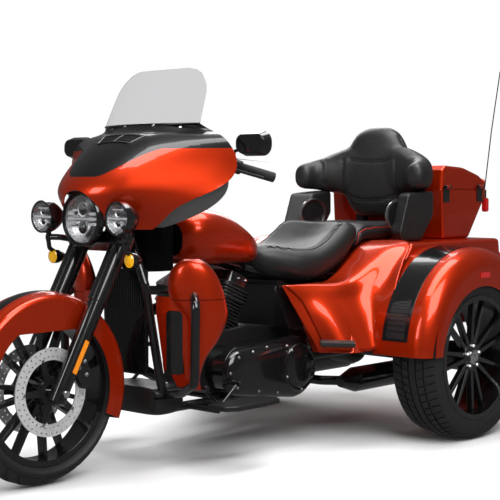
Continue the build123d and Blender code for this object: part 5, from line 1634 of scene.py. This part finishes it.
# Its wings from the middle outwards: centre x, y, z, half height and half depth
WING_FORM = (
    (-0.882, 0.020, 1.064, 0.128, 0.050),
    (-0.880, 0.120, 1.064, 0.122, 0.053),
    (-0.868, 0.200, 1.060, 0.102, 0.056),
    (-0.838, 0.258, 1.054, 0.082, 0.056),
    (-0.790, 0.290, 1.050, 0.066, 0.050),
    (-0.738, 0.300, 1.046, 0.056, 0.044),
    (-0.716, 0.300, 1.046, 0.044, 0.034),
)


def back_form():
    """The backrest with its wings, as overlapping closed forms."""
    turn = np.linspace(0, 2 * pi, 64, endpoint=False)
    across, deep = squared(turn, 2.4)
    rows = [
        np.stack([x + depth * deep, half * across, np.full_like(turn, z)], axis=-1)
        for z, half, x, depth in smooth_rows(BACK_FORM, 40)
    ]
    forms = [filled(grid_mesh("back", np.array(rows)))]
    table = smooth_rows(WING_FORM, 40)
    way = np.gradient(table[:, :3], axis=0)
    way /= np.linalg.norm(way, axis=1, keepdims=True)
    aside = np.cross(way, (0.0, 0.0, 1.0))
    upward = np.cross(aside, way)
    across, up = squared(turn, 2.2)
    rings = table[:, None, :3] + aside[:, None] * (table[:, 4, None] * across)[..., None]
    rings += upward[:, None] * (table[:, 3, None] * up)[..., None]
    for side in (1, -1):
        forms.append(filled(grid_mesh("wing", rings * np.array((1, side, 1)))))
    return join("back_form", forms)


# Seams on the left side, as points from the front back or from the top down
SEAT_TOP_SEAM = dense(
    (
        (-0.060, 0.086, 0.790),
        (-0.120, 0.120, 0.786),
        (-0.190, 0.148, 0.778),
        (-0.260, 0.164, 0.784),
        (-0.320, 0.166, 0.808),
        (-0.375, 0.164, 0.848),
        (-0.420, 0.158, 0.884),
        (-0.456, 0.140, 0.890),
        (-0.470, 0.080, 0.884),
        (-0.474, 0.0, 0.880),
    )
)
BACK_PANEL_SEAM = dense(
    (
        (-0.884, 0.120, 1.215),
        (-0.880, 0.150, 1.130),
        (-0.860, 0.150, 1.060),
        (-0.850, 0.148, 0.990),
        (-0.858, 0.118, 0.9625),
        (-0.856, 0.060, 0.947),
        (-0.8555, 0.0, 0.943),
    )
)
PILLION_SEAM = dense(
    (
        (-0.506, 0.184, 0.760),
        (-0.514, 0.190, 0.815),
        (-0.58, 0.192, 0.836),
        (-0.70, 0.190, 0.838),
        (-0.83, 0.180, 0.836),
    )
)
# Crease across the backrest
BACK_CREASE = dense(
    (
        (-0.876, 0.110, 1.112),
        (-0.8754, 0.060, 1.103),
        (-0.875, 0.0, 1.100),
        (-0.875, -0.11, 1.112),
    )
)
# Stays under the backrest: x, z and the y of both, then length, width, thickness and edge
STAY_X = -0.910
STAY_Z = 0.830
STAY_Y = (-0.1, 0.1)
STAY_SIZES = (0.108, 0.040, 0.028, 0.004)


def seats():
    """The rider's seat, the pillion seat, and the backrest on its stays."""
    cushion("rider_seat", "seat", long_form(SEAT_FORM, 2.7), 8, both(SEAT_TOP_SEAM), 0.60)
    cushion("pillion_seat", "seat", long_form(PILLION_FORM, 4.0), 6, both(PILLION_SEAM), 0.782, "red_piping")
    cushion("backrest_pad", "backrest", back_form(), 24, both(BACK_PANEL_SEAM) + [BACK_CREASE], 0.80)
    stays = [slab((STAY_X, y, STAY_Z), (0, 0, 1), (1, 0, 0), *STAY_SIZES) for y in STAY_Y]
    put("back_stays", join("back_stays", stays), "black_satin", "chassis")


seats()


# Studio

# Strength of the surroundings and the floor in reflections, and of the even light on the object
GLOSS_SKY = 0.10
GLOSS_FLOOR = 0.16
FILL_SKY = 0.20
WHITE = (1.0, 1.0, 1.0, 1.0)
# Half the floor's side, and how far from the middle it starts and ends turning plain white
FLOOR_HALF = 30.0
FLOOR_FADE = (1.7, 3.4)


def studio_world():
    """White to the camera and through glass, softer in reflections, and a low even light on the object."""
    world = bpy.data.worlds.new("studio_world")
    bpy.context.scene.world = world
    world.use_nodes = True
    tree = world.node_tree
    tree.nodes.clear()
    path = wired(tree, "ShaderNodeLightPath")
    seen = wired(tree, "ShaderNodeMath", {"operation": "MAXIMUM"})
    tree.links.new(path.outputs["Is Camera Ray"], seen.inputs[0])
    tree.links.new(path.outputs["Is Transmission Ray"], seen.inputs[1])
    white = wired(tree, "ShaderNodeBackground", (), {"Color": WHITE, "Strength": 1.0})
    shine = wired(tree, "ShaderNodeBackground", (), {"Color": WHITE, "Strength": GLOSS_SKY})
    fill = wired(tree, "ShaderNodeBackground", (), {"Color": WHITE, "Strength": FILL_SKY})
    by_gloss = {0: path.outputs["Is Glossy Ray"], 1: fill.outputs[0], 2: shine.outputs[0]}
    lit = wired(tree, "ShaderNodeMixShader", (), by_gloss)
    by_sight = {0: seen.outputs[0], 1: lit.outputs[0], 2: white.outputs[0]}
    all_rays = wired(tree, "ShaderNodeMixShader", (), by_sight)
    wired(tree, "ShaderNodeOutputWorld", (), {0: all_rays.outputs[0]})


def studio_floor():
    """A pale floor that takes the shadow near the object and is plain white further off."""
    corners = [(x * FLOOR_HALF, y * FLOOR_HALF, 0) for x, y in ((-1, -1), (1, -1), (1, 1), (-1, 1))]
    mesh = bpy.data.meshes.new("studio_floor")
    mesh.from_pydata(corners, [], [(0, 1, 2, 3)])
    made = finish("floor_white")
    x, y, _ = made.axes()
    away = ((x * x) + (y * y)) ** 0.5
    made.set(Base_Color=(0.94, 0.94, 0.94), Roughness=0.9)
    bright = made.add("ShaderNodeEmission", (), {"Color": WHITE, "Strength": 1.0})
    path = made.add("ShaderNodeLightPath", (), (), "Is Camera Ray")
    both_ways = {0: away.ramp(*FLOOR_FADE) * path, 1: Value(made, made.surface.outputs[0]), 2: bright}
    shown = made.add("ShaderNodeMixShader", (), both_ways)
    dim = made.add("ShaderNodeEmission", (), {"Color": WHITE, "Strength": GLOSS_FLOOR})
    glossy = made.add("ShaderNodeLightPath", (), (), "Is Glossy Ray")
    shown = made.add("ShaderNodeMixShader", (), {0: glossy, 1: shown, 2: dim})
    made.tree.links.new(shown.socket, made.output.inputs[0])
    paint(mesh, "floor_white")
    link("studio_floor", mesh)


# Softboxes: name, place, point they face, width, height and power
SOFTBOXES = (
    ("key_softbox", (1.2, 2.6, 3.4), (0.0, 0.0, 0.5), 2.6, 2.6, 135.0),
    ("front_softbox", (4.6, -0.6, 2.6), (0.3, 0.0, 0.7), 1.4, 2.2, 60.0),
    ("back_softbox", (-2.6, -2.4, 3.0), (-0.3, 0.0, 0.6), 2.4, 2.4, 80.0),
    ("top_softbox", (-0.2, 0.2, 4.0), (-0.2, 0.0, 0.0), 3.6, 1.8, 140.0),
)


def studio():
    """The world, the floor, the softboxes and the camera of the photograph."""
    scene = bpy.context.scene
    scene.view_settings.view_transform = "Standard"
    studio_world()
    studio_floor()
    for name, at, towards, width, height, power in SOFTBOXES:
        light = bpy.data.lights.new(name, "AREA")
        light.shape = "RECTANGLE"
        light.size = width
        light.size_y = height
        light.energy = power
        lamp = link(name, light)
        lamp.location = at
        lamp.rotation_euler = (Vector(towards) - Vector(at)).to_track_quat("-Z", "Y").to_euler()

    camera = bpy.data.cameras.new("photo_camera")
    camera.sensor_width = SENSOR
    camera.lens = FOCAL_PX / PHOTO_SIZE * SENSOR
    camera.shift_x = (PHOTO_SIZE / 2 - PRINCIPAL_PX[0]) / PHOTO_SIZE
    camera.shift_y = (PRINCIPAL_PX[1] - PHOTO_SIZE / 2) / PHOTO_SIZE
    viewer = link("photo_camera", camera)
    level = cos(CAMERA_PITCH)
    look = Vector((level * cos(CAMERA_YAW), level * sin(CAMERA_YAW), sin(CAMERA_PITCH)))
    viewer.location = CAMERA_AT
    viewer.rotation_euler = look.to_track_quat("-Z", "Y").to_euler()
    scene.camera = viewer


studio()
